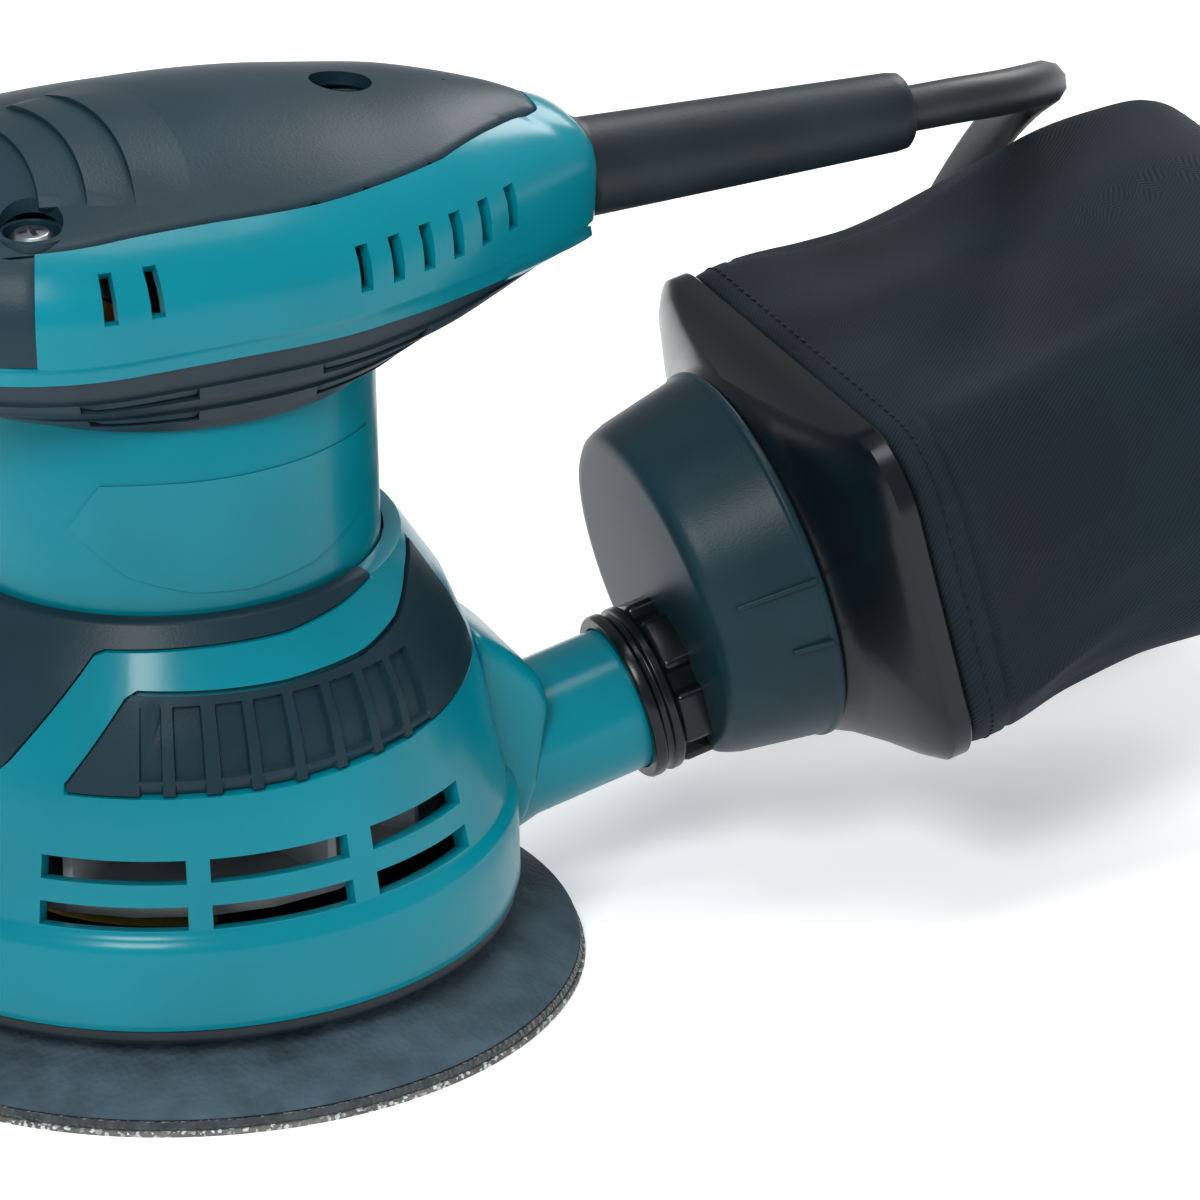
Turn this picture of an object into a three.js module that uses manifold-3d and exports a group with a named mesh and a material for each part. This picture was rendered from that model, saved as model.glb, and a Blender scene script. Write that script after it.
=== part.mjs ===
// Palm-held random orbit sander: a standalone three.js model in millimetres, +Z up.
//
// The origin is on the motor's axis, in the plane of the abrasive face. +X points to the rear, where
// the mains lead and the dust bag are, and -Y is the tool's left-hand side.
import * as THREE from "three";
import { mergeVertices } from "three/addons/utils/BufferGeometryUtils.js";
import Module from "manifold-3d";

const wasm = await Module();
wasm.setup();

// ---------------------------------------------------------------- driving dimensions

const GAP = 0.3; // between touching pieces
const ROUND = 32; // sides of a large circle
const HIDDEN = 24; // sides of a large circle inside the tool
const SMALL = 14; // sides of a small circle
const CURTAIN_STEP = 10; // degrees

const ORBIT = 1.4; // offset of the pad's axis from the motor's axis
const DISC_R = 62.5; // a 125 mm abrasive disc
const PAD_R = 61.5;
const HOLE_PCD_R = 32.5; // radius of the circle of eight dust holes
const HOLE_R = 5;

const BASE_Z = 13.9; // lower edge of the base housing
const GRIP_DEPTH = 2; // recess under the soft grip panels
const NECK_R = 33.5;
const NECK_Z = [60, 105.9];
const WAIST_Z = 106.2; // lower edge of the waist band
const SHAFT_R = 4;

const HEAD_FRONT = -56.5;
const HEAD_REAR = 71.5;
const HEAD_R = 39.5; // half of the head's width
const HEAD_WALL = 2.8;
const COVER_FRONT_X = -32.6; // where the cover wraps down over the front
const CROWN_Z = 150;

const GUARD_Z = 122.9; // axis of the cord guard
const GUARD_TIP_X = 127;
const CORD_R = 3.7;
const COIL = { x: 185, y: 98, inner: 26.6, outer: 49.2, top: 21.3 };

const SPOUT_TILT = 13; // degrees that the spout rises to the rear
const SPOUT_W = 12.9; // height of the spout's axis above the tilted s axis
const SPOUT_R = 11.8;
const SPOUT_TIP = 93;
const CAP_W = 27.7; // height of the cap's axis above the tilted s axis
const CAP_S = [90.7, 109.1];
const FLANGE_S = [118.7, 122.3];
const BAG_S = [122.7, 212.5];

const rad = THREE.MathUtils.degToRad;
const lerp = THREE.MathUtils.lerp;

// ---------------------------------------------------------------- materials

function material(color, roughness, metalness = 0) {
  return new THREE.MeshStandardMaterial({ color, roughness, metalness });
}

const looks = {
  shell: material("#0092ac", 0.3), // glossy turquoise nylon
  grip: material("#2b3a42", 0.75), // soft-touch elastomer
  blackPlastic: material("#1d2326", 0.4),
  capPlastic: material("#29373c", 0.45),
  rubber: material("#141617", 0.85),
  cloth: material("#1a222c", 0.95),
  foam: material("#4e5c61", 0.9),
  hooks: material("#39454a", 1),
  abrasive: material("#6a5a4a", 1),
  steel: material("#b9bcbe", 0.35, 1),
  lamination: material("#6e6f70", 0.5, 1),
  copper: material("#b0643a", 0.4, 1),
  carbon: material("#26282a", 0.7),
  brass: material("#b5964e", 0.35, 1),
  castFan: material("#9aa0a3", 0.5, 0.6),
};

// ---------------------------------------------------------------- closed solids

// The solid of a closed geometry, turned right side out.
function solid(geometry) {
  const bare = geometry.clone();
  bare.deleteAttribute("normal");
  bare.deleteAttribute("uv");
  const merged = mergeVertices(bare, 1e-4);
  const made = (triVerts) =>
    new wasm.Manifold(
      new wasm.Mesh({ numProp: 3, vertProperties: merged.attributes.position.array, triVerts }),
    );
  const triVerts = new Uint32Array(merged.index.array);
  const first = made(triVerts);
  return first.volume() > 0 ? first : made(triVerts.slice().reverse());
}

function geometryOf(manifold) {
  const { vertProperties, triVerts, numProp } = manifold.getMesh();
  const geometry = new THREE.BufferGeometry();
  const xyz = new Float32Array((vertProperties.length / numProp) * 3);
  for (let i = 0; i < xyz.length / 3; i++)
    for (let k = 0; k < 3; k++) xyz[3 * i + k] = vertProperties[numProp * i + k];
  geometry.setAttribute("position", new THREE.BufferAttribute(xyz, 3));
  geometry.setIndex(new THREE.BufferAttribute(new Uint32Array(triVerts), 1));
  geometry.computeVertexNormals();
  return geometry;
}

const join = (first, ...rest) => rest.reduce((all, one) => all.add(one), first);
const cut = (first, ...rest) => rest.reduce((left, one) => left.subtract(one), first);
const common = (first, ...rest) => rest.reduce((left, one) => left.intersect(one), first);

// A closed [radius, z] profile turned about the Z axis.
function turned(profile, sides = ROUND) {
  const points = profile.map(([r, z]) => new THREE.Vector2(r, z));
  const onAxis = profile[0][0] === 0 && profile[profile.length - 1][0] === 0;
  if (!onAxis) points.push(points[0].clone());
  return solid(new THREE.LatheGeometry(points, sides).rotateX(Math.PI / 2));
}

function moved(manifold, x, y, z) {
  return manifold.translate([x, y, z]);
}

function disc(r, z0, z1, sides = ROUND) {
  return turned([[0, z0], [r, z0], [r, z1], [0, z1]], sides);
}

function ring(inner, outer, z0, z1, sides = ROUND) {
  return turned([[inner, z0], [outer, z0], [outer, z1], [inner, z1]], sides);
}

function box(x0, x1, y0, y1, z0, z1) {
  const geometry = new THREE.BoxGeometry(x1 - x0, y1 - y0, z1 - z0);
  return solid(geometry.translate((x0 + x1) / 2, (y0 + y1) / 2, (z0 + z1) / 2));
}

// An [x, y] outline raised from z0 to z1.
function prism(outline, z0, z1) {
  const shape = new THREE.Shape(outline.map(([x, y]) => new THREE.Vector2(x, y)));
  const settings = { depth: z1 - z0, bevelEnabled: false };
  return solid(new THREE.ExtrudeGeometry(shape, settings).translate(0, 0, z0));
}

// A skin over rings with equal numbers of [x, y, z] points. Flat ends close it, unless it is a loop.
function loft(rings, loop = false) {
  const n = rings[0].length;
  const points = rings.flat();
  const index = [];
  const last = loop ? rings.length : rings.length - 1;
  for (let i = 0; i < last; i++)
    for (let j = 0; j < n; j++) {
      const next = (i + 1) % rings.length;
      const [a, b] = [i * n + j, i * n + ((j + 1) % n)];
      const [c, d] = [next * n + j, next * n + ((j + 1) % n)];
      index.push(a, b, d, a, d, c);
    }
  if (!loop)
    for (const [i, front] of [[0, true], [rings.length - 1, false]]) {
      const middle = [0, 1, 2].map((k) => rings[i].reduce((sum, p) => sum + p[k], 0) / n);
      points.push(middle);
      for (let j = 0; j < n; j++) {
        const [a, b] = [i * n + j, i * n + ((j + 1) % n)];
        index.push(...(front ? [b, a, points.length - 1] : [a, b, points.length - 1]));
      }
    }
  const geometry = new THREE.BufferGeometry();
  geometry.setAttribute("position", new THREE.Float32BufferAttribute(points.flat(), 3));
  geometry.setIndex(index);
  return solid(geometry);
}

// A straight pipe or rod of radius r along X, from x0 to x1, at height z.
function rodX(r, x0, x1, z, r1 = r, sides = SMALL) {
  const rod = turned([[0, x0], [r, x0], [r1, x1], [0, x1]], sides);
  return rod.rotate([0, 90, 0]).translate([0, 0, z]);
}

// A round cord of radius r through the points of a smooth route.
function cordAlong(route, r, sides, steps) {
  const path = new THREE.CatmullRomCurve3(route.map((p) => new THREE.Vector3(...p)));
  const outline = new THREE.Shape();
  outline.absarc(0, 0, r, 0, 2 * Math.PI);
  const points = outline.getSpacedPoints(sides).slice(0, sides);
  return solid(
    new THREE.ExtrudeGeometry(new THREE.Shape(points), { steps, extrudePath: path }),
  );
}

// Straight-line interpolation in a list of [key, value] pairs.
function between(pairs, key) {
  const i = Math.max(1, pairs.findIndex(([k]) => k >= key));
  const [[k0, v0], [k1, v1]] = [pairs[i - 1], pairs[i]];
  return lerp(v0, v1, THREE.MathUtils.clamp((key - k0) / (k1 - k0), 0, 1));
}

// A curved wall between two radii, whose lower and upper edges are lists of [azimuth, z] pairs.
// grow widens it on all sides. side -1 is the tool's left, and 1 mirrors it to the right.
function curtain(low, high, inner, outer, grow = 0, side = -1) {
  const [from, to] = [low[0][0], low[low.length - 1][0]];
  const steps = Math.ceil((to - from) / CURTAIN_STEP);
  const rings = [];
  for (let i = 0; i <= steps; i++) {
    const azimuth = lerp(from, to, i / steps);
    const end = i === 0 ? -1 : i === steps ? 1 : 0;
    const turn = rad((azimuth + end * grow * 1.3) * -side);
    const [z0, z1] = [between(low, azimuth) - grow, between(high, azimuth) + grow];
    const at = (r, z) => [r * Math.cos(turn), r * Math.sin(turn), z];
    rings.push([at(inner, z0), at(outer, z0), at(outer, z1), at(inner, z1)]);
  }
  return loft(rings);
}

// Moves a solid from the tilted [s, y, w] axes of the dust bag to the tool's axes.
const tilted = (manifold) => manifold.rotate([0, -SPOUT_TILT, 0]);

// ---------------------------------------------------------------- abrasive disc and pad

const SECTOR = 45; // eight dust holes

function dustHoles(z0, z1, r = HOLE_R, sides = 8) {
  const holes = [];
  for (let i = 0; i < 8; i++) {
    const turn = rad((i + 0.5) * SECTOR);
    const hole = disc(r, z0, z1, sides);
    holes.push(moved(hole, HOLE_PCD_R * Math.cos(turn), HOLE_PCD_R * Math.sin(turn), 0));
  }
  return holes;
}

const sandingDisc = () => cut(disc(DISC_R, 0, 0.9, 40), ...dustHoles(-1, 2));

const hookFace = () => cut(ring(9, PAD_R, 1.2, 2.2, 40), ...dustHoles(0, 3, HOLE_R, 6));

// The pad's foam: a thin rim, a cone and a flat top.
function padFoam() {
  const body = turned([[9, 2.5], [PAD_R, 2.5], [PAD_R, 3.1], [49.5, 9.4], [9, 9.4]]);
  return cut(body, ...dustHoles(0, 12, HOLE_R, 6));
}

function padPlate() {
  const body = turned([
    [3, 9.8], [46.5, 9.8], [46.5, 12], [9.5, 12], [9.5, 14.2], [4.6, 14.2], [4.6, 22], [3, 22],
  ], HIDDEN);
  return cut(body, ...dustHoles(0, 16, HOLE_R, 6));
}

const padScrew = () =>
  turned([[0, 5], [6.2, 5], [6.2, 8], [2.6, 9.2], [2.6, 20], [0, 20]], SMALL);

const padBearing = () => ring(5, 10.5, 15.2, 21.2, 24);

// ---------------------------------------------------------------- rotor

// Clamped hub with an off-centre pocket for the pad's bearing.
function eccentricHub() {
  const body = disc(15.5, 14.8, 27.4, 32);
  const pocket = moved(disc(11, 13, 22.6, 24), ORBIT, 0, 0);
  const bore = disc(SHAFT_R + GAP, 20, 30, SMALL);
  return cut(body, pocket, bore);
}

// Half-ring weight that balances the pad, opposite the offset.
function counterweight() {
  return common(ring(16, 33, 22, 27.2, 40), box(-40, -6, -40, 40, 20, 30));
}

// Dust and cooling impeller: a back plate with straight radial blades.
function fan() {
  const plate = ring(SHAFT_R + GAP, 42, 27.8, 29.6, HIDDEN);
  const hub = ring(SHAFT_R + GAP, 10, 27.8, 39, 12);
  const blades = [];
  for (let i = 0; i < 12; i++)
    blades.push(box(9, 41, -0.8, 0.8, 29, 41).rotate([0, 0, 30 * i + 15]));
  return join(plate, hub, ...blades);
}

const armatureShaft = () =>
  turned([[0, 22.9], [SHAFT_R - 0.2, 22.9], [SHAFT_R - 0.2, 125], [0, 125]], SMALL);

function armatureCore() {
  const core = ring(SHAFT_R + 0.2, 15.5, 64, 96, HIDDEN);
  const slots = [];
  for (let i = 0; i < 8; i++)
    slots.push(box(12.5, 17, -0.9, 0.9, 60, 100).rotate([0, 0, 45 * i]));
  return cut(core, ...slots);
}

const windingHead = (z0, z1, wide) =>
  turned([[SHAFT_R + 0.2, z0], [wide[0], z0], [wide[1], z1], [SHAFT_R + 0.2, z1]], 24);

function commutator() {
  const drum = ring(SHAFT_R + 0.2, 9.2, 104.6, 115.6, 24);
  const slots = [];
  for (let i = 0; i < 8; i++)
    slots.push(box(8.6, 10, -0.25, 0.25, 104, 116).rotate([0, 0, 45 * i]));
  return cut(drum, ...slots);
}

const ballBearing = (outer, z0, z1) => ring(SHAFT_R + 0.2, outer, z0, z1, 24);

// ---------------------------------------------------------------- stator and brushes

const statorCore = () => {
  const yoke = ring(22.5, 30.2, 62, 98);
  const poles = [1, -1].map((side) =>
    common(box(9, 24, -11, 11, 62, 98).rotate([0, 0, side > 0 ? 0 : 180]), ring(16.8, 24, 62, 98)),
  );
  return join(yoke, ...poles);
};

// One field coil: a flat loop around a pole, seen as a rounded bar above and below the core.
function fieldCoil(side) {
  const loop = common(ring(17.4, 22, 56, 104), box(2, 30, -17.5, 17.5, 55, 105));
  const window = box(0, 40, -11.4, 11.4, 61.6, 98.4);
  return cut(loop, window).rotate([0, 0, side > 0 ? 0 : 180]);
}

// Brass tube that guides a carbon brush towards the commutator, along Y.
function brushHolder(side) {
  const tube = cut(box(-5.2, 5.2, 11, 27, 106.3, 114.7), box(-3.5, 3.5, 10, 25.6, 107.9, 113.1));
  return tube.rotate([0, 0, side > 0 ? 0 : 180]);
}

const carbonBrush = (side) =>
  box(-3.2, 3.2, 9.6, 18, 108.2, 112.8).rotate([0, 0, side > 0 ? 0 : 180]);

// Helical spring between a brush and the end of its holder.
function brushSpring(side) {
  const turns = 3;
  const route = [];
  for (let i = 0; i <= 6 * turns; i++) {
    const turn = (i / 6) * 2 * Math.PI;
    const y = lerp(18.7, 24.9, i / (6 * turns));
    route.push([1.7 * Math.cos(turn), y, 110.5 + 1.7 * Math.sin(turn)]);
  }
  return cordAlong(route, 0.3, 4, 6 * turns).rotate([0, 0, side > 0 ? 0 : 180]);
}

// ---------------------------------------------------------------- base housing

// Outer [radius, z] profile of the base, from its lower edge up to the neck.
const BASE_PROFILE = [
  [53.3, BASE_Z], [53.8, 15.4], [53.8, 27.2], [52.2, 29.4], [48.4, 49.4], [46, 58.3],
  [41.9, 66.8], [36.6, 74.3],
];

// The base's profile as a closed shell from depth a to depth b under its outer face.
function baseShell(a, b, z0 = BASE_Z, z1 = 74.3) {
  const levels = [z0, ...BASE_PROFILE.map(([, z]) => z).filter((z) => z > z0 && z < z1), z1];
  const flipped = BASE_PROFILE.map(([r, z]) => [z, r]);
  const at = (z) => between(flipped, z);
  const outer = levels.map((z) => [at(z) - a, z]);
  const inner = levels.map((z) => [Math.max(at(z) - b, NECK_R + 0.4), z]).reverse();
  return turned([...outer, ...inner]);
}

// Edges of the soft side panel and of the shoulder grip, as [azimuth, z] from the rear.
const PANEL_LOW = [[-131, 51], [-90, 50.8], [-60, 51.8], [-24, 54]];
const PANEL_HIGH = [
  [-131, 52.4], [-119, 66.2], [-86, 65.6], [-66, 66.2], [-52, 68], [-38, 71.5], [-24, 73.4],
];
const STRIP_HIGH = [
  [-181, 51], [-145, 52.2], [-127, 71.2], [-104, 71.5], [-82, 71.6], [-65, 72.8], [-52, 74],
];

const panelZone = (side, grow) => curtain(PANEL_LOW, PANEL_HIGH, 30, 60, grow, side);

// Everything above the teal strip: the front grip and the collar round the neck.
function shoulderZone(side, grow) {
  const top = STRIP_HIGH.map(([azimuth]) => [azimuth, 76]);
  return curtain(STRIP_HIGH, top, 30, 60, grow, side);
}

const bothSides = (zone, grow = 0) => [zone(-1, grow), zone(1, grow)];

// A vent slot through the base wall, between two azimuths and two heights.
function ventSlot(from, to, z0, z1, side) {
  return curtain([[from, z0], [to, z0]], [[from, z1], [to, z1]], 40, 60, 0, side);
}

const VENT_COLUMNS = [[-135, -109], [-104.8, -79], [-74, -50]];
const VENT_ROWS = [[30.3, 34], [37.5, 41.2]];

// Raised boss that carries the dust spout.
function spoutBoss(grow = 0) {
  const outline = [[43, 18], [54.4, 16], [57, 24], [59.5, 38], [58, 43], [53, 48.5], [43, 55]];
  const slab = prism(outline, -13 - grow, 13 + grow);
  return slab.rotate([90, 0, 0]);
}

function spoutHole(r) {
  return tilted(rodX(r, 30, 100, SPOUT_W, r, 24));
}

function baseHousing() {
  const recess = baseShell(-1, GRIP_DEPTH);
  const grips = [...bothSides(panelZone, GAP / 2), ...bothSides(shoulderZone, GAP / 2)];
  const boss = cut(spoutBoss(), disc(46.5, 0, 90));
  const slots = [];
  for (const side of [-1, 1])
    for (const [from, to] of VENT_COLUMNS)
      for (const [z0, z1] of VENT_ROWS) slots.push(ventSlot(from, to, z0, z1, side));
  const inner = [[NECK_R + 0.4, 74.3], [38.5, 66.8], [44.6, 50], [49.2, 28], [49.9, BASE_Z]];
  const shell = join(turned([...BASE_PROFILE, ...inner]), boss);
  const pockets = grips.map((zone) => common(recess, zone));
  return cut(shell, ...pockets, ...slots, spoutHole(SPOUT_R + GAP));
}

const WINDOWS = [
  [-116.8, -112.7], [-110.2, -104.7], [-101.6, -96.2], [-93.8, -87.6], [-85.2, -79], [-76.6, -70.4],
  [-68, -62], [-59.8, -54],
];
const WINDOW_Z = [53.6, 64];

// Soft side panel with a row of shallow windows between its ribs.
function sidePanel(side) {
  const panel = common(baseShell(0, GRIP_DEPTH - GAP), panelZone(side, -GAP / 2));
  const shallow = baseShell(-1, 0.7);
  const windows = WINDOWS.map(([from, to]) => {
    const [low, high] = WINDOW_Z.map((z) => [[from, z], [to, z]]);
    return common(shallow, curtain(low, high, 30, 60, 0, side));
  });
  return cut(panel, ...windows, spoutBoss(GAP));
}

function shoulderGrip() {
  const shell = baseShell(0, GRIP_DEPTH - GAP);
  return common(shell, join(...bothSides(shoulderZone, -GAP / 2)));
}

const brakeRing = () => turned([[49, 11.2], [51.2, 11.2], [52.7, 12.2], [52.7, 13.6], [49, 13.6]]);

// Lower bearing plate, which also closes the fan chamber.
function bearingPlate() {
  const plate = turned([
    [8, 42.6], [44, 42.6], [44, 45], [15, 45], [15, 54.5], [10.9, 54.5], [10.9, 46.2], [8, 46.2],
  ], HIDDEN);
  const ports = [];
  for (let i = 0; i < 8; i++)
    ports.push(moved(disc(5, 40, 48, 6), 30 * Math.cos(rad(45 * i)), 30 * Math.sin(rad(45 * i)), 0));
  return cut(plate, ...ports);
}

function dustSpout() {
  const tube = rodX(SPOUT_R, 54.5, SPOUT_TIP, SPOUT_W, SPOUT_R - 0.2, 24);
  return tilted(cut(tube, rodX(9.6, 40, 100, SPOUT_W, 9.6, 24)));
}

// ---------------------------------------------------------------- neck and waist

function neckHousing() {
  const tube = ring(NECK_R - 2.6, NECK_R, NECK_Z[0], NECK_Z[1]);
  const rib = box(29.6, 31.5, -1.2, 1.2, 99, 104.5);
  const ribs = [45, 135, 225, 315].map((azimuth) => rib.rotate([0, 0, azimuth]));
  return join(tube, ...ribs);
}

// Half of the head's width at x, at its widest level.
function headHalfWidth(x) {
  const noseCentre = HEAD_FRONT + HEAD_R;
  if (x < noseCentre) return Math.sqrt(Math.max(HEAD_R ** 2 - (x - noseCentre) ** 2, 0));
  const tail = [[noseCentre, HEAD_R], [0, 39.4], [15, 38.4], [26, 35.6], [42, 28.4], [56, 19.4],
    [64, 13.8], [68.5, 10.6], [70.8, 8], [HEAD_REAR, 6]];
  return between(tail, x);
}

// Distance from the axis to the head's outline, in the direction of an azimuth.
function headReach(azimuth) {
  let [near, far] = [5, 80];
  for (let i = 0; i < 30; i++) {
    const r = (near + far) / 2;
    const [x, y] = [r * Math.cos(azimuth), Math.abs(r * Math.sin(azimuth))];
    const inside = x > HEAD_FRONT && x < HEAD_REAR && y < headHalfWidth(x);
    if (inside) near = r;
    else far = r;
  }
  return near;
}

// How far the waist has flared from the neck to the head, by height.
const FLARE = [[WAIST_Z, 0], [107.8, 0.26], [110.4, 0.6], [113, 0.87], [118.4, 1]];

const WAIST_SIDES = 28;

function waistRings(inset) {
  return FLARE.map(([z, share]) => {
    const outline = [];
    for (let i = 0; i < WAIST_SIDES; i++) {
      const azimuth = (i / WAIST_SIDES) * 2 * Math.PI;
      const r = lerp(NECK_R + 1.3, headReach(azimuth) - 2.4, share) - inset;
      outline.push([r * Math.cos(azimuth), r * Math.sin(azimuth), z]);
    }
    return outline;
  });
}

function waistBand() {
  const past = [-1, 0, 0, 0, 2]; // how far the hollow runs past the band's own levels
  const hollow = waistRings(2.2).map((outline, i) => outline.map(([x, y, z]) => [x, y, z + past[i]]));
  const slots = [];
  for (const side of [-1, 1])
    for (const [from, to] of [[-126, -101], [-70, -42]])
      for (const [z0, z1] of [[108.3, 109.9], [112.2, 114]])
        slots.push(curtain([[from, z0], [to, z0]], [[from, z1], [to, z1]], 33, 70, 0, side));
  const bore = disc(NECK_R - 1, 100, 108);
  return cut(loft(waistRings(0)), loft(hollow), ...slots, headSolid(-GAP), bore);
}

// Bridge across the top of the motor that holds the upper bearing.
function bearingBridge() {
  const bar = join(box(-9.5, 9.5, -30, 30, 117.4, 120), disc(11.4, 117.4, 126, 28));
  return cut(bar, disc(8.3, 117.8, 125.4, 24), disc(5, 116, 119, SMALL));
}

// ---------------------------------------------------------------- head

// Height of the head's crown, and of its lower edge, at x.
const CROWN = [[HEAD_FRONT, 131], [-55, 135], [-52, 139.4], [-48, 142.8], [-40, 146.6], [-30, 149],
  [-13, CROWN_Z], [3, CROWN_Z], [18, 148.6], [31, 146.5], [45, 143.2], [57, 139.2], [64, 135.8],
  [68.5, 132.4], [70.8, 129], [HEAD_REAR, 127]];
const LOWER = [[HEAD_FRONT, 117.6], [0, 117.8], [26, 117.4], [42, 116.6], [HEAD_REAR, 113.8]];

// Half-width of the cover's edge, and its drop below the crown, at x.
function coverEdge(x, half) {
  const wide = [
    [-30, 0.93], [15, 0.91], [26, 0.87], [42, 0.79], [56, 0.58], [64, 0.42], [HEAD_REAR, 0.4],
  ];
  const fall = [
    [HEAD_FRONT, 1.5], [-50, 5], [-40, 7.5], [15, 8.5], [42, 4.6], [60, 3.4], [HEAD_REAR, 2],
  ];
  return [half * between(wide, x), between(fall, x)];
}

// Upright section of the head at x, thinned by inset.
function headSection(x, inset) {
  const half = Math.max(headHalfWidth(x) - inset, 0.8);
  const crown = between(CROWN, x) - inset;
  const low = between(LOWER, x) - (inset > 1 ? 5 : inset < 0 ? -inset : 0);
  const [edge, fall] = coverEdge(x, half);
  const shoulder = [(half * 2 + edge) / 3, crown - fall - 3];
  const side = [[half - 2.2, low], [half - 0.6, low + 3], [half, low + 9], shoulder];
  const dome = [1, 0.7, 0.35].map((share) => [edge * share, crown - fall * share ** 2.2]);
  const right = [...side, ...dome].map(([y, z]) => [Math.max(y, 0.4), Math.min(z, crown)]);
  const left = [...right].reverse().map(([y, z]) => [-y, z]);
  return [[0, low], ...right, [0, crown], ...left].map(([y, z]) => [x, y, z]);
}

// The head as one solid, thinned by inset: 0 is its outer face.
function headSolid(inset) {
  const front = HEAD_FRONT + (inset > 1 ? inset + 0.8 : inset * 0.5);
  const rear = HEAD_REAR - inset;
  const stations = [-54.5, -51, -45, -34, -17, 3, 18, 31, 45, 57, 66, 70.5];
  const used = [front, ...stations.filter((x) => x > front + 0.5 && x < rear - 0.3), rear];
  const held = (x) => THREE.MathUtils.clamp(x, HEAD_FRONT + 0.05, HEAD_REAR);
  return loft(used.map((x) => headSection(held(x), inset)));
}

// Plan of the soft cover, as an upright prism, grown by grow.
function coverZone(grow) {
  const xs = [-60, COVER_FRONT_X, -22, -8, 6, 18, 26, 34, 42, 50, 56, 60];
  const right = xs.map((x) => [x, coverEdge(x, headHalfWidth(Math.max(x, COVER_FRONT_X)))[0] + grow]);
  const left = [...right].reverse().map(([x, y]) => [x, -y]);
  const top = prism([...right, [63 + grow, 3], [63 + grow, -3], ...left], 128, 160);
  const nose = box(-62, COVER_FRONT_X + grow, -45, 45, 119.6 - grow, 160);
  return join(top, nose);
}

const COVER_SCREWS = [
  ["front_left", -28.6, -25, 144], ["front_right", -28.6, 25, 144], ["rear", 31.6, 0, 146.3],
];

// A shallow grip band across the front of the crown, between two radii about a centre ahead of it.
const BAND_CENTRE = [-70, -10];

function gripBand(from, to) {
  const spread = [-16, -10, -4, 2, 8, 14, 20].map(rad);
  const arc = (r) =>
    spread.map((a) => [BAND_CENTRE[0] + r * Math.cos(a), BAND_CENTRE[1] + r * Math.sin(a)]);
  return prism([...arc(from), ...arc(to).reverse()], 149.2, 155);
}

function topCover() {
  const shell = cut(headSolid(0), headSolid(HEAD_WALL));
  const bosses = COVER_SCREWS.map(([, x, y, z]) => moved(disc(6.4, z - 10, z - 1, 12), x, y, 0));
  const wells = COVER_SCREWS.map(([, x, y, z]) => moved(disc(4.5, z - 6, z + 8, 16), x, y, 0));
  const holes = COVER_SCREWS.map(([, x, y, z]) => moved(disc(2.2, z - 14, z, 8), x, y, 0));
  const bands = [60, 52.7].map((r) => gripBand(r - 6.8, r));
  const body = join(common(shell, coverZone(0)), ...bosses);
  const window = box(-60, -46, -11.5, 11.5, 122, 135);
  return cut(body, ...wells, ...holes, ...bands, window);
}

// Upright cooling slots in the head's side wall.
const HEAD_VENTS = [-21.5, -14, 20.5, 26.5, 32.5, 38.5, 44.5, 50.5];

function headShell() {
  const shell = cut(headSolid(0), headSolid(HEAD_WALL), coverZone(GAP));
  const slots = HEAD_VENTS.map((x) => {
    const [z0, z1] = x < 0 ? [127.5, 134.5] : [124.5, 132];
    return box(x - 1.1, x + 1.1, -45, 45, z0, z1);
  });
  return cut(shell, ...slots, rodX(8.3, 60, 80, GUARD_Z));
}

function coverScrew(x, y, z) {
  const [tip, seat, top] = [z - 13.5, z - 5.6, z - 3.2];
  const screw = turned([[0, tip], [1.8, tip], [1.8, seat], [3.9, seat], [3.9, top], [0, top]], 16);
  const slot = box(-2.4, 2.4, -0.45, 0.45, z - 4.6, z);
  return moved(cut(screw, slot, slot.rotate([0, 0, 90])), x, y, 0);
}

// ---------------------------------------------------------------- switch

const ROCKER_X = -52; // the rocker's upright pivot axis
const ROCKER_TILT = 6; // degrees either side of the middle

const switchBezel = () =>
  cut(box(-57.2, -50.2, -11.1, 11.1, 122.4, 134.6), box(-60, -48, -9.8, 9.8, 123.6, 133.4));

const switchBody = () => box(-48.9, -38, -10, 10, 122, 135);

function switchRocker() {
  const face = [[-50.4, -9], [-50.4, 9], [-56, 9], [-57.4, 5], [-56.4, 0], [-57.4, -5], [-56, -9]];
  const rocker = prism(face.map(([x, y]) => [x - ROCKER_X, y * 0.98]), 124, 133);
  return rocker.rotate([0, 0, ROCKER_TILT]).translate([ROCKER_X, 0, 0]);
}

// ---------------------------------------------------------------- lead

function cordGuard() {
  const flange = rodX(8.6, 61.5, 64, GUARD_Z);
  const boot = rodX(7.9, 63.5, GUARD_TIP_X, GUARD_Z, 6.2, 24);
  return join(flange, boot);
}

const cordClamp = () => cut(box(45, 55, -8.5, 8.5, 119.4, 129), rodX(3.9, 40, 60, GUARD_Z));

// Points of the lead from the guard's tip to the top turn of the coil.
const LEAD_ROUTE = [
  [GUARD_TIP_X + GAP, 0, 122.9], [136, 0.4, 122.8], [145, 3, 121.6], [153.5, 9, 119.3],
  [160, 17.5, 115.8],
  [164, 27.5, 111], [165.5, 38, 104.5], [165, 47.5, 96], [163, 55.5, 85.5], [160, 62, 73.5],
  [156.5, 66.5, 62], [152.6, 71, 50.5], [149.3, 76.5, 40], [146.6, 82.3, 31.6], [144.9, 87.3, 26.2],
];
// Its end where it bends level into the coil's top turn.
const LEAD_END = [
  [144.75, 87.9, 25.6], [143.9, 92.5, 21.6], [143.5, 98, 18.6], [144, 105.2, 17.5], [145.9, 112.2, 17.5],
];

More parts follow.
